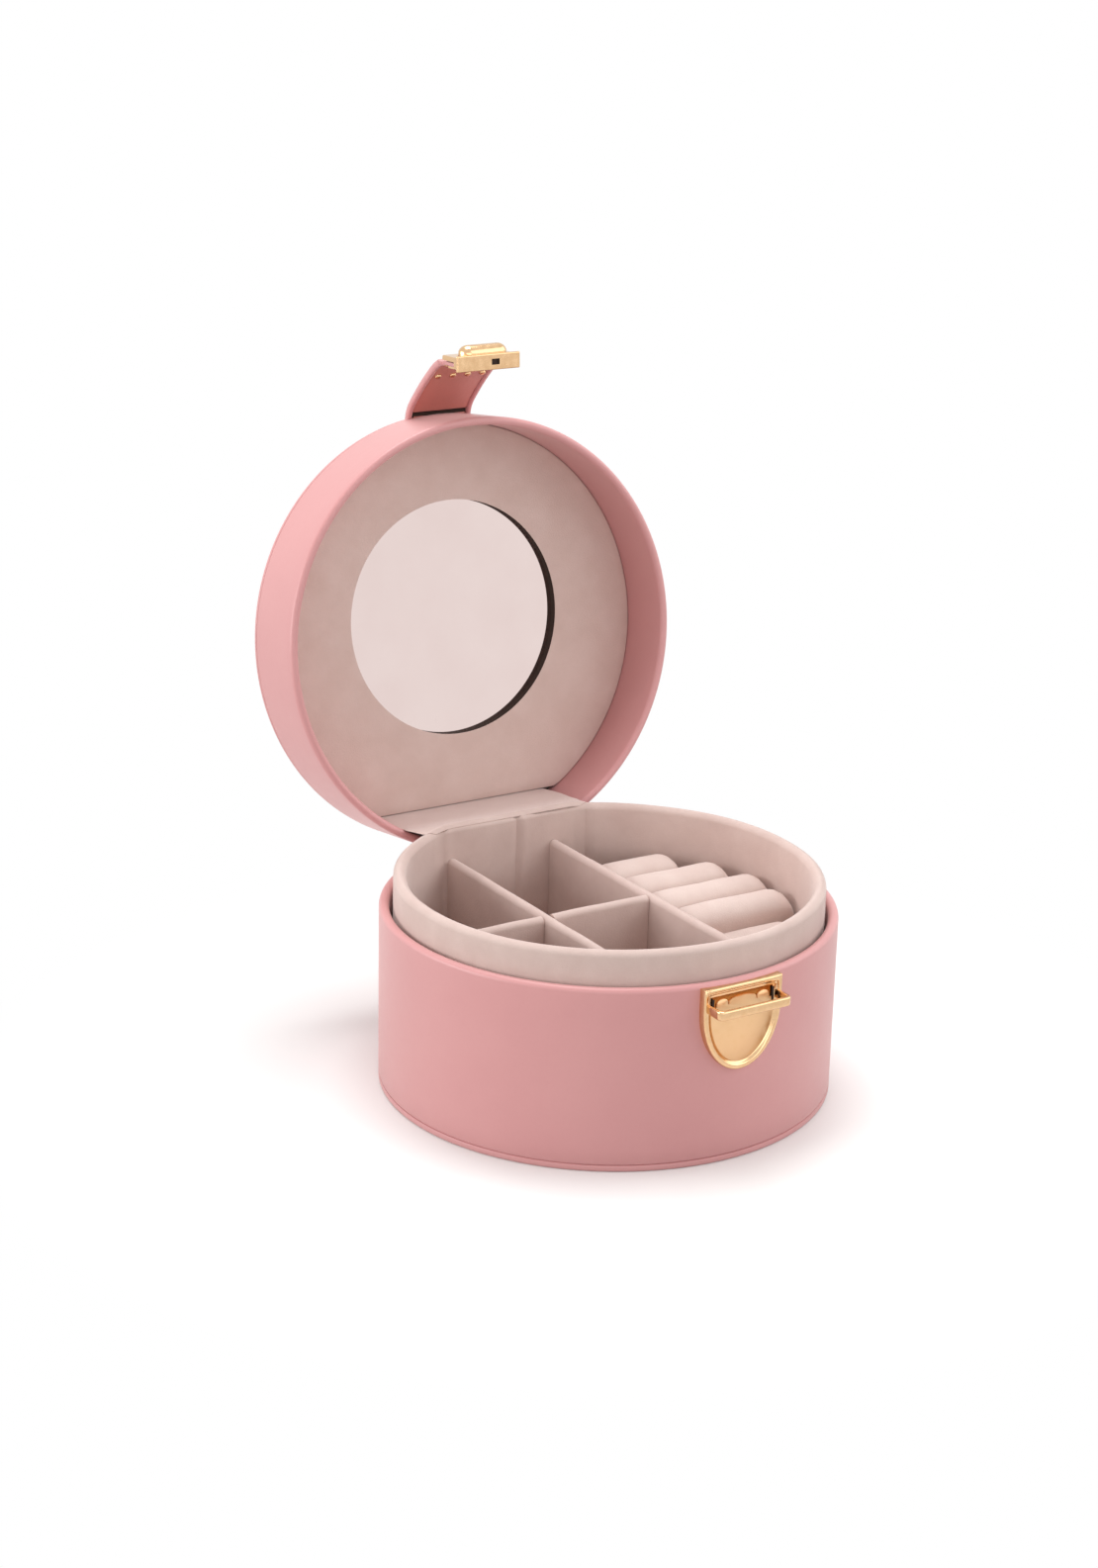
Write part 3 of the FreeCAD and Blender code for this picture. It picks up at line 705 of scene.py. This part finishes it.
def mirror_hole_edge():
    """Bare cut edge of the surround's board, round the mirror hole; its near-black colour is partly painted
    shade in the hole.
    """
    rings = []
    for past, depth in ((0.0, 0.14), (0.35, 0.14), (0.35, 0.7), (0.0, 0.7)):
        reach = MIRROR_HOLE + past
        z = RIM_Z + SURROUND_FACE + depth
        ring = []
        for i in range(MIRROR_STEPS):
            a = 2 * math.pi * i / MIRROR_STEPS
            ring.append(Vector((reach * math.cos(a), MIRROR_Y + reach * math.sin(a), z)))
        rings.append(ring)
    points, faces = skin(rings, closed_stack=True)
    fixed(piece("mirror_hole_raw_edge_and_shade", (open_all(points), faces), RAW_EDGE_AND_SHADE), "lid")


# Fabric hinge
def band(path, section_at):
    """Strip along a (y, z) path; section_at gives its (x, height) outline for a share of the way."""
    rings = []
    count = len(path)
    for k, (y, z) in enumerate(path):
        before = Vector(path[max(k - 1, 0)])
        after = Vector(path[min(k + 1, count - 1)])
        run = (after - before).normalized()
        side = Vector((-run.y, run.x))
        rings.append([Vector((x, y + side.x * h, z + side.y * h)) for x, h in section_at(k / (count - 1))])
    return skin(rings, cap_first=True, cap_last=True)


def sheet_section(half, thickness, across=24):
    """Outline of a flat sheet with thinned edges."""
    edge_share = 0.35
    section = []
    for sign, order in ((1, range(across + 1)), (-1, range(across, -1, -1))):
        for i in order:
            share = edge_share if i in (0, across) else 1.0
            section.append((half * (2 * i / across - 1), sign * share * thickness / 2))
    return section


def smooth_path(points, steps):
    """Catmull-Rom curve through (y, z) points."""
    ends = [points[0], *points, points[-1]]
    found = []
    for a, b, c, d in zip(ends, ends[1:], ends[2:], ends[3:]):
        for i in range(steps):
            t = i / steps
            place = []
            for p, q, r, s in zip(a, b, c, d):
                square = 2 * p - 5 * q + 4 * r - s
                cube = 3 * q - p - 3 * r + s
                place.append(0.5 * (2 * q + (r - p) * t + square * t ** 2 + cube * t ** 3))
            found.append(tuple(place))
    found.append(tuple(points[-1]))
    return found


def fall_away(x):
    """How far the inside of the lid wall falls away from its flat back at a distance from the middle."""
    rise = FLAT_BACK - CORNER
    across = math.sqrt((LID_RADIUS - CORNER) ** 2 - rise ** 2)
    bend = CORNER - LID_WALL
    inside = LID_RADIUS - LID_WALL
    past = abs(x) - across
    if past <= 0:
        return 0.0
    if past <= bend * across / math.hypot(across, rise):
        return bend - math.sqrt(bend ** 2 - past ** 2)
    return FLAT_BACK - LID_WALL - math.sqrt(inside ** 2 - x ** 2)


def velvet_web():
    """Lining that runs from under the mirror surround on to the back of the collar."""
    start = opened(SURROUND_FLAT + 0.5, RIM_Z + SURROUND_FACE + 1.2)
    outer = FLAT_BACK - COLLAR_IN
    middle = outer - COLLAR_WALL / 2
    points = [start, (66.0, 54.7), (59.0, 55.4), (54.6, 56.3), (outer - 0.5, COLLAR_TOP - 0.25),
              (middle, COLLAR_TOP + 0.1), (middle - 1.1, COLLAR_TOP - 0.55)]
    path = smooth_path(points, 7)
    widths = ((0.0, 27.6), (0.4, 27.4), (0.5, 26.7), (0.8, 25.7), (1.0, 23.0))
    off_middle = -1.6
    on_base = Vector((52.0, 57.0))
    on_lid = Vector((57.5, 55.8))

    def half_at(share):
        for (begun, wide), (ended, narrow) in zip(widths, widths[1:]):
            if share <= ended:
                return wide + (narrow - wide) * (share - begun) / (ended - begun)
        return widths[-1][1]

    def tucked(p):
        """The sides of the web follow the bend of the collar, so that the shut lid hides them."""
        fold = on_lid - on_base
        share = min(max((Vector((p.y, p.z)) - on_base).dot(fold) / fold.length_squared, 0.0), 1.0)
        x = p.x + off_middle
        return Vector((x, p.y - fall_away(x) * (1 - share), p.z))

    points, faces = band(path, lambda share: sheet_section(half_at(share), SHEET))
    made = piece("hinge_web_velvet", ([tucked(p) for p in points], faces), LINING, sharp=60)
    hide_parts("velvet_web")
    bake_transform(made)


def leather_strip():
    """Outer hinge strip, glued to the flat back of the base and of the lid."""
    out = FLAT_BACK + STRIP_OFF
    points = [(out, BASE_TOP - d) for d in (STRIP_REACH, 10, 5, 1.7)]
    points += [opened(out, HINGE_Z + d) for d in (1.6, 5.0, 10.0, STRIP_REACH)]
    path = smooth_path(points, 5)
    shape = band(path, lambda share: sheet_section(STRIP_HALF, SHEET))
    made = piece("hinge_strip_leather", shape, PINK, sharp=60)
    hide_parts("leather_strip")
    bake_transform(made)


# Strap
def heading(lift):
    """Direction along the strap or clasp, in (y, z) of the closed lid."""
    return Vector((-math.sin(lift), -math.cos(lift)))


def strap_route():
    """(y, z) points of the strap's middle line on the open lid, from the seam to inside the clasp."""
    root = Vector(STRAP_ROOT)
    along = heading(STRAP_LIFT)
    out = Vector((along.y, -along.x))
    tip = root + along * STRAP_LENGTH
    clasp_along = heading(CLASP_LIFT)
    in_seam = ((3.6, 0.1), (1.3, 0.05))
    in_clasp = (1.4, 4.2, 7.1)
    closed = [(STRAP_ROOT[0] + y, STRAP_ROOT[1] + z) for y, z in in_seam]
    for share in (0.1, 0.3, 0.5, 0.7, 0.9):
        bow = STRAP_BOW * 4 * share * (1 - share)
        closed.append(tuple(root + along * (STRAP_LENGTH * share) + out * bow))
    closed += [tuple(tip + clasp_along * d) for d in in_clasp]
    return [opened(*p) for p in closed]


OUTER_PLY = [(-10.0, -0.5), (-9.6, -0.9), (-4, -0.95), (4, -0.95), (9.6, -0.9), (10.0, -0.5)]
TURNED_EDGE = [(10.0, 0.55), (9.75, 0.9), (9.2, 0.98), (8.7, 0.88), (8.5, 0.5), (8.45, 0.05)]
OUTER_PLY += TURNED_EDGE + [(-x, h) for x, h in reversed(TURNED_EDGE)]
LINING_PLY = [(-8.4, 0.0), (8.4, 0.0), (8.4, 0.45), (8.0, 0.68), (0, 0.75), (-8.0, 0.68), (-8.4, 0.45)]


def strap_parts():
    """Strap of two plies: the outer one turned over the edges, the lining laid between."""
    steps = 7
    path = smooth_path(strap_route(), steps)
    split = 4 * steps  # the middle of the strap
    tip_index = 6 * steps  # the last place before the clasp
    crease_index = 9
    shade_reach_at_crease = 0.9

    def place_at(index):
        return Vector((0, *path[index])) * MM

    def under_plate(section):
        """The strap is pared down where it runs under the top plate of the clasp."""
        mouth = (tip_index + 4 - split) / (len(path) - 1 - split)
        thin = [(0.9 * x, max(h, -0.1)) for x, h in section]
        return lambda share: thin if share > mouth else section

    def creased(section):
        """The lining is pressed into a crease where the strap leaves the seam."""
        between = TURNED_EDGE[-1][0]
        pressed = [(x, min(h, 0.12) if abs(x) < between else h) for x, h in section]
        creases = (crease_index, crease_index + 1)
        return lambda share: pressed if round(share * split) in creases else section

    # the lining ply wears the darker leatherette, which is painted shade on the strap's inner face
    for ply, section, material, lower_nodes, upper_nodes in (
            ("outer", OUTER_PLY, PINK, ("strap_anchor",), ("strap_outer",)),
            ("lining", LINING_PLY, PINK_PAINTED_SHADE, ("strap_lining",), ("strap_end",))):
        lower_shape = band(path[:split + 1], creased(section))
        upper_shape = band(path[split:], under_plate(section))
        lower = piece(f"strap_{ply}_lower", lower_shape, material, sharp=60)
        upper = piece(f"strap_{ply}_upper", upper_shape, material, sharp=60)
        # faces of the lining round the crease take the near-black material: painted shade in the crease
        if ply == "lining":
            lower.data.materials.append(RAW_EDGE_AND_SHADE)
            crease = place_at(crease_index)
            for face in lower.data.polygons:
                off = Vector((0, face.center.y, face.center.z)) - crease
                face.material_index = int(off.length < shade_reach_at_crease * MM)
        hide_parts(*lower_nodes)
        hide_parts(*upper_nodes)
        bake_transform(lower)
        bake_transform(upper)
    prong_tips(path, tip_index - steps)


def prong_tips(path, index):
    """Row of round prong heads through the strap, beside the clasp."""
    at = Vector(path[index])
    run = (Vector(path[index + 1]) - Vector(path[index - 1])).normalized()
    side = Vector((-run.y, run.x))
    around = 12
    shapes = []
    for x in PRONGS:
        rings = []
        for height, reach in ((0.6, 0.95), (0.95, 0.95), (1.2, 0.75), (1.32, 0.35)):
            ring = []
            for i in range(around):
                a = 2 * math.pi * i / around
                place = at + run * (reach * math.sin(a)) + side * height
                ring.append(Vector((x + reach * math.cos(a), place.x, place.y)))
            rings.append(ring)
        shapes.append(skin(rings, cap_first=True, cap_last=True))
    fixed(piece("clasp_prong_tips", joined(shapes), GOLD, sharp=60), "strap")


# Clasp, in its own flat places: x across, u along from the strap's bend, n outwards
def clasp_point(x, u, n):
    """A place of the clasp on the open lid."""
    clasp_along = heading(CLASP_LIFT)
    out = Vector((clasp_along.y, -clasp_along.x))
    place = Vector(STRAP_ROOT) + heading(STRAP_LIFT) * STRAP_LENGTH + clasp_along * u + out * n
    return Vector((x, *opened(place.x, place.y)))


def bevelled(made, width, segments=3):
    """Apply a bevel so that the metal has real rounded edges."""
    build = bmesh.new()
    build.from_mesh(made.data)
    edges = [e for e in build.edges if len(e.link_faces) == 2 and e.calc_face_angle() > math.radians(35)]
    bmesh.ops.bevel(build, geom=edges, offset=width * MM, segments=segments, affect="EDGES", profile=0.5,
                    clamp_overlap=True)
    build.to_mesh(made.data)
    build.free()
    made.data.polygons.foreach_set("use_smooth", [True] * len(made.data.polygons))
    made.data.set_sharp_from_angle(angle=math.radians(50))
    return made


def block(low, high, place):
    """Box between two corners of a piece's own frame."""
    corners = [place(*(high[i] if k >> i & 1 else low[i] for i in range(3))) for k in range(8)]
    faces = [(0, 1, 3, 2), (4, 6, 7, 5), (0, 4, 5, 1), (2, 3, 7, 6), (0, 2, 6, 4), (1, 5, 7, 3)]
    return corners, faces


def pill_ring(half, length, middle, n, steps=10):
    """Round-ended outline in the clasp's own frame."""
    radius = length / 2
    straight = half - radius
    ring = []
    for side, start in ((1, -90), (-1, 90)):
        for i in range(steps + 1):
            a = math.radians(start + 180 * i / steps)
            ring.append(clasp_point(side * straight + radius * math.cos(a), middle + radius * math.sin(a), n))
    return ring


def carved(made, *cutters):
    """Cut shapes out of a mesh and remove the cutters."""
    for points, faces in cutters:
        tool = piece("cutter", (points, faces), GOLD)
        change = made.modifiers.new("cut", "BOOLEAN")
        change.object = tool
        change.operation = "DIFFERENCE"
        change.solver = "EXACT"
        bpy.context.view_layer.update()
        result = bpy.data.meshes.new_from_object(made.evaluated_get(bpy.context.evaluated_depsgraph_get()))
        made.modifiers.clear()
        made.data = result
        made.data.polygons.foreach_set("use_smooth", [False] * len(made.data.polygons))
        bpy.data.objects.remove(tool)
    return made


def clasp_metal():
    """Housing with a window for the button, and the end bar with a slot, dark behind with painted shade."""
    low = (-CLASP_HALF, CLASP_START, -CLASP_BELOW)
    high = (CLASP_HALF, CLASP_LENGTH, CLASP_ABOVE)
    housing = bevelled(piece("clasp_case", block(low, high, clasp_point), GOLD), 0.4)
    mouth = block((-12.0, 0.0, -4.0), (12.0, 7.4, 0.55), clasp_point)
    half = BUTTON_HALF + BUTTON_GAP
    length = BUTTON_LENGTH + 2 * BUTTON_GAP
    rings = [pill_ring(half, length, BUTTON_MIDDLE, n) for n in (-0.3, 4.0)]
    window = skin(rings, cap_first=True, cap_last=True)
    slot = block((0.9, CLASP_LENGTH - 0.6, -0.6), (3.3, CLASP_LENGTH + 1, 0.95), clasp_point)
    fixed(carved(housing, mouth, window, slot), "clasp", "clasp_housing")
    low = (-CLASP_HALF - 0.25, CLASP_LENGTH - 0.75, -CLASP_BELOW - CLASP_LIP)
    high = (CLASP_HALF + 0.25, CLASP_LENGTH + 0.15, CLASP_ABOVE + CLASP_LIP)
    bar = bevelled(piece("clasp_end_bar", block(low, high, clasp_point), GOLD), 0.3)
    fixed(carved(bar, slot), "clasp")
    # near-black block behind the slot: painted shade inside it
    shade = block((0.7, CLASP_LENGTH - 0.55, -0.75), (3.5, CLASP_LENGTH - 0.35, 1.1), clasp_point)
    fixed(piece("clasp_slot_painted_shade", shade, RAW_EDGE_AND_SHADE), "clasp")


def clasp_button():
    """Push button with a domed top."""
    dome = ((-0.05, 0.0), (0.8, 0.0), (1.2, 0.03), (1.8, 0.35), (2.3, 0.85), (2.65, 1.5), (2.8, 2.15))
    rings = []
    for height, shrink in dome:
        half = BUTTON_HALF - shrink
        rings.append(pill_ring(half, BUTTON_LENGTH - 2 * shrink, BUTTON_MIDDLE, CLASP_ABOVE + height))
    shape = skin(rings, cap_first=True, cap_last=True)
    made = piece("clasp_button_dome", shape, GOLD, sharp=60)
    fixed(made, "button", "release_button")


def leaf_spring():
    """Bowed strip under the button, drawn at rest; the real strip flattens as the button goes in."""
    half_steps = 12
    corners = ((-SPRING_WIDTH_HALF, 0.0), (SPRING_WIDTH_HALF, 0.0), (SPRING_WIDTH_HALF, SPRING_STRIP),
               (-SPRING_WIDTH_HALF, SPRING_STRIP))
    rings = []
    for i in range(2 * half_steps + 1):
        x = SPRING_HALF * (i / half_steps - 1)
        n = SPRING_FLOOR + SPRING_RISE * (1 - (x / SPRING_HALF) ** 2)
        rings.append([clasp_point(x, BUTTON_MIDDLE + u, n + lift) for u, lift in corners])
    made = piece("button_leaf_spring", skin(rings, cap_first=True, cap_last=True), STEEL)
    fixed(made, "clasp", "button_spring")
    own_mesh(made)


# Lock on the base
def shield_ring(margin, distance, steps=26):
    """Shield outline with a flat top and a tapered round foot, at a distance from the axis or on the wall."""
    half = PLATE_HALF - margin
    top = PLATE_TOP - margin
    centre = PLATE_FOOT + PLATE_TAPER
    drop = PLATE_TAPER - margin
    side_steps = 6
    top_steps = 8
    sunk = 0.05
    flat = [(half, centre + (top - centre) * i / side_steps) for i in range(side_steps + 1)]
    flat += [(half - 2 * half * i / top_steps, top) for i in range(1, top_steps + 1)]
    flat += [(-half, top - (top - centre) * i / side_steps) for i in range(1, side_steps + 1)]
    for i in range(1, steps):
        a = math.pi + math.pi * i / steps
        flat.append((half * math.cos(a), centre + drop * math.sin(a)))
    ring = []
    for x, z in flat:
        y = distance if distance else math.sqrt(CASE_RADIUS ** 2 - x ** 2) - sunk
        ring.append(Vector((x, -y, z)))
    return ring


def apron_ring(inset, distance):
    """Raised apron of the plate: round foot, and three lobes along its upper edge."""
    half = PLATE_HALF - PLATE_FRAME - inset
    drop = PLATE_TAPER - PLATE_FRAME - inset
    centre = PLATE_FOOT + PLATE_TAPER
    foot_steps = 26
    lobe_steps = 12
    lobe_foot = 43.2
    lobe_rise = 1.75
    shoulder = 42.6
    shoulder_x = 8.0
    foot = []
    for i in range(foot_steps + 1):
        a = math.pi + math.pi * i / foot_steps
        foot.append((half * math.cos(a), centre + drop * math.sin(a)))
    edge = [(half, shoulder - inset), (shoulder_x, shoulder + 0.3 - inset)]
    for middle, lobe in ((6.1, 1.75), (0.0, 4.15), (-6.1, 1.75)):
        reach = lobe - inset
        for i in range(lobe_steps + 1):
            a = math.pi * i / lobe_steps
            rise = lobe_rise * math.sin(a) ** 0.6 * reach / lobe
            edge.append((middle + reach * math.cos(a), lobe_foot + rise))
    edge += [(-shoulder_x, shoulder + 0.3 - inset), (-half, shoulder - inset)]
    return [Vector((x, -distance, z)) for x, z in foot + edge]


def lock_shield():
    """Stamped plate with a beaded frame round a sunk field, and the raised apron in it."""
    face = PLATE_FACE
    bead = face + 0.4
    loops = [(0.0, 0), (0.0, bead - 0.35), (0.15, bead - 0.08), (0.45, bead), (0.95, bead),
             (1.25, bead - 0.08), (1.45, face + 0.08), (1.8, face - 0.35), (2.4, face - 0.4)]
    shape = skin([shield_ring(*loop) for loop in loops], cap_last=True)
    plate = piece("lock_shield", shape, GOLD, sharp=50)
    # the large faces of the sunk field take the dark gold, as painted shade and painted reflection
    plate.data.materials.append(GOLD_SHADE)
    shaded_field_area = 100 * MM * MM
    for part in plate.data.polygons:
        part.material_index = int(part.area > shaded_field_area)
    fixed(plate, "base", "lock_plate")
    rings = [apron_ring(inset, face + lift) for inset, lift in ((0.0, -0.5), (0.0, -0.12), (0.12, 0.0))]
    apron = piece("lock_apron", skin(rings, cap_last=True), GOLD_SATIN, sharp=50)
    fixed(apron, "base")


def lock_leg_shade_patches():
    """Near-black patches on the plate beside the legs of the bar: painted shade in the slots that the legs
    pass through.
    """
    half = 0.35
    foot = 41.6
    top = 45.4
    for name, x in (("lock_leg_painted_shade_left", -LEG_X), ("lock_leg_painted_shade_right", LEG_X)):
        low = (x - half, -PLATE_FACE + 0.1, foot)
        high = (x + half, -PLATE_FACE - 0.06, top)
        shape = block(low, high, lambda *place: Vector(place))
        # each patch is painted shade, laid on the face of the plate
        fixed(bevelled(piece(name, shape, RAW_EDGE_AND_SHADE), 0.2), "base")


def lock_bar():
    """Standing bar with two legs, bent from one strip, which the clasp goes behind."""
    wall = math.sqrt(CASE_RADIUS ** 2 - BAR_OUTER ** 2)

    def bent(leg, front, turn):
        """(x, distance) points of one face: out from the wall, round a corner, across and back."""
        line = [(leg, wall)]
        line += [(leg - turn + x, front - turn + y) for x, y in arc((0, 0), turn, 0, 90, RIM_STEPS)]
        return line + [(-x, y) for x, y in reversed(line)]

    outside = bent(BAR_OUTER, BAR_FRONT, 1.6)
    inside = bent(BAR_INNER, BAR_BACK, 0.9)
    rings = []
    for (ox, oy), (ix, iy) in zip(outside, inside):
        rings.append([Vector((ox, -oy, BAR_LOW)), Vector((ox, -oy, BAR_HIGH)),
                      Vector((ix, -iy, BAR_HIGH)), Vector((ix, -iy, BAR_LOW))])
    shape = skin(rings, cap_first=True, cap_last=True)
    bridge = piece("lock_bar", shape, GOLD, sharp=50)
    fixed(bevelled(bridge, 0.4), "base", "lock_bridge")


def finish_cad_nodes():
    """Materials of the CAD pieces that keep their own shape."""
    finishes = {
        BOARD: ("bottom_board", "base_wall_board", "floor_board", "collar_board", "lid_wall_board",
                "lid_top_board", "mirror_spacer"),
        # the surround's board core is near-black: its cut edge, with painted shade, shows round the mirror
        # hole
        RAW_EDGE_AND_SHADE: ("surround_board",),
        GLASS: ("mirror_glass",),
        GOLD: ("lock_washer", "lock_rivets", "clasp_back_cover", "clasp_prongs", "prong_strip"),
    }
    for material, nodes in finishes.items():
        for name in nodes:
            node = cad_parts[name]
            node.data.materials.clear()
            node.data.materials.append(material)


# Studio
def paper_floor(scene):
    """Pale floor that keeps the case's shadow and fades to plain white away from it."""
    reach = 6.0  # metres
    corners = [(-reach, -reach, 0), (reach, -reach, 0), (reach, reach, 0), (-reach, reach, 0)]
    mesh = bpy.data.meshes.new("studio_floor")
    mesh.from_pydata(corners, [], [(0, 1, 2, 3)])
    floor = bpy.data.objects.new("studio_floor", mesh)
    scene.collection.objects.link(floor)
    paper, tree, shader, mm = begin("white_paper")
    shadow_mm = 80.0
    white_mm = 170.0
    constant(shader, {"Roughness": 0.9, "Specular IOR Level": 0.0})
    rays = add(tree, "ShaderNodeLightPath")
    bounce = add(tree, "ShaderNodeMix",
                 {"Factor": rays.outputs["Is Diffuse Ray"], COLOUR_A: linear("#F8F7F6"),
                  COLOUR_B: linear("#B4B2B0")}, data_type="RGBA")
    tree.links.new(bounce.outputs[COLOUR_OUT], shader.inputs["Base Color"])
    away = add(tree, "ShaderNodeVectorMath", {0: mm}, operation="LENGTH")
    far = add(tree, "ShaderNodeMapRange",
              {"Value": away.outputs["Value"], "From Min": shadow_mm, "From Max": white_mm},
              interpolation_type="SMOOTHSTEP")
    seen = add(tree, "ShaderNodeMath", {0: rays.outputs["Is Camera Ray"], 1: rays.outputs["Is Glossy Ray"]},
               operation="MAXIMUM")
    white = add(tree, "ShaderNodeMath", {0: far.outputs[0], 1: seen.outputs[0]}, operation="MULTIPLY")
    plain = add(tree, "ShaderNodeEmission")
    shown = add(tree, "ShaderNodeMixShader", {0: white.outputs[0], 1: shader.outputs[0], 2: plain.outputs[0]})
    tree.links.new(shown.outputs[0], tree.nodes["Material Output"].inputs["Surface"])
    floor.data.materials.append(paper)


def white_world(scene):
    """Plain white where it is seen or mirrored, and a soft fill light elsewhere."""
    fill = 0.45
    world = bpy.data.worlds.new("studio")
    scene.world = world
    world.use_nodes = True
    tree = world.node_tree
    rays = add(tree, "ShaderNodeLightPath")
    seen = add(tree, "ShaderNodeMath", {0: rays.outputs["Is Camera Ray"], 1: rays.outputs["Is Glossy Ray"]},
               operation="MAXIMUM")
    shown = add(tree, "ShaderNodeMath", {0: seen.outputs[0], 1: rays.outputs["Is Transmission Ray"]},
                operation="MAXIMUM")
    level = add(tree, "ShaderNodeMapRange", {"Value": shown.outputs[0], "To Min": fill, "To Max": 1.0})
    tree.links.new(level.outputs[0], tree.nodes["Background"].inputs["Strength"])
    tree.nodes["Background"].inputs["Color"].default_value = (1, 1, 1, 1)


def soft_lamps(scene):
    """Large soft lamps, with places and sizes in metres and power in watts."""
    target = Vector((0, 0.02, 0.07))
    lamps = (
        ("side_left", (-1.0, 0.3, 0.3), (0.8, 0.5), 6.5),
        ("side_right", (0.85, -0.6, 0.65), (1.6, 1.0), 6.8),
        ("front", (-0.35, -1.15, 0.3), (1.4, 0.5), 3.1),
        ("top_back", (0.1, 0.3, 1.25), (0.7, 0.7), 10.5),
    )
    for name, place, size, watts in lamps:
        lamp = bpy.data.lights.new(name, "AREA")
        lamp.shape = "RECTANGLE"
        lamp.size, lamp.size_y = size
        lamp.energy = watts
        made = bpy.data.objects.new(name, lamp)
        made.location = place
        made.rotation_euler = (target - Vector(place)).to_track_quat("-Z", "Y").to_euler()
        scene.collection.objects.link(made)


def photo_camera(scene):
    """Camera at the photograph's viewing angle."""
    lens = bpy.data.cameras.new("photo_camera")
    long_side = max(PHOTO)
    lens.sensor_width = 36.0
    lens.lens = FOCAL_PIXELS * lens.sensor_width / long_side
    lens.shift_x = (PHOTO[0] / 2 - OPTICAL_CENTRE[0]) / long_side
    lens.shift_y = (OPTICAL_CENTRE[1] - PHOTO[1] / 2) / long_side
    lens.clip_start = 0.01
    back = Vector((math.sin(CAMERA_AZIMUTH) * math.cos(CAMERA_HEIGHT),
                   -math.cos(CAMERA_AZIMUTH) * math.cos(CAMERA_HEIGHT), math.sin(CAMERA_HEIGHT)))
    right = Vector((0, 0, 1)).cross(back).normalized()
    up = back.cross(right)
    rolled = right * math.cos(CAMERA_ROLL) + up * math.sin(CAMERA_ROLL)
    rolled_up = up * math.cos(CAMERA_ROLL) - right * math.sin(CAMERA_ROLL)
    axes = Matrix((rolled, rolled_up, back)).transposed().to_4x4()
    camera = bpy.data.objects.new("photo_camera", lens)
    camera.matrix_world = Matrix.Translation((CAMERA_TARGET + back * CAMERA_DISTANCE) * MM) @ axes
    scene.collection.objects.link(camera)
    scene.camera = camera


base_shell()
collar_lining()
floor_lining()
divider_set()
ring_rolls()
lid_shell()
mirror_surround()
mirror_hole_edge()
velvet_web()
leather_strip()
strap_parts()
clasp_metal()
clasp_button()
leaf_spring()
lock_shield()
lock_leg_shade_patches()
lock_bar()
finish_cad_nodes()

studio = bpy.context.scene
studio.view_settings.view_transform = "Standard"
paper_floor(studio)
white_world(studio)
soft_lamps(studio)
photo_camera(studio)
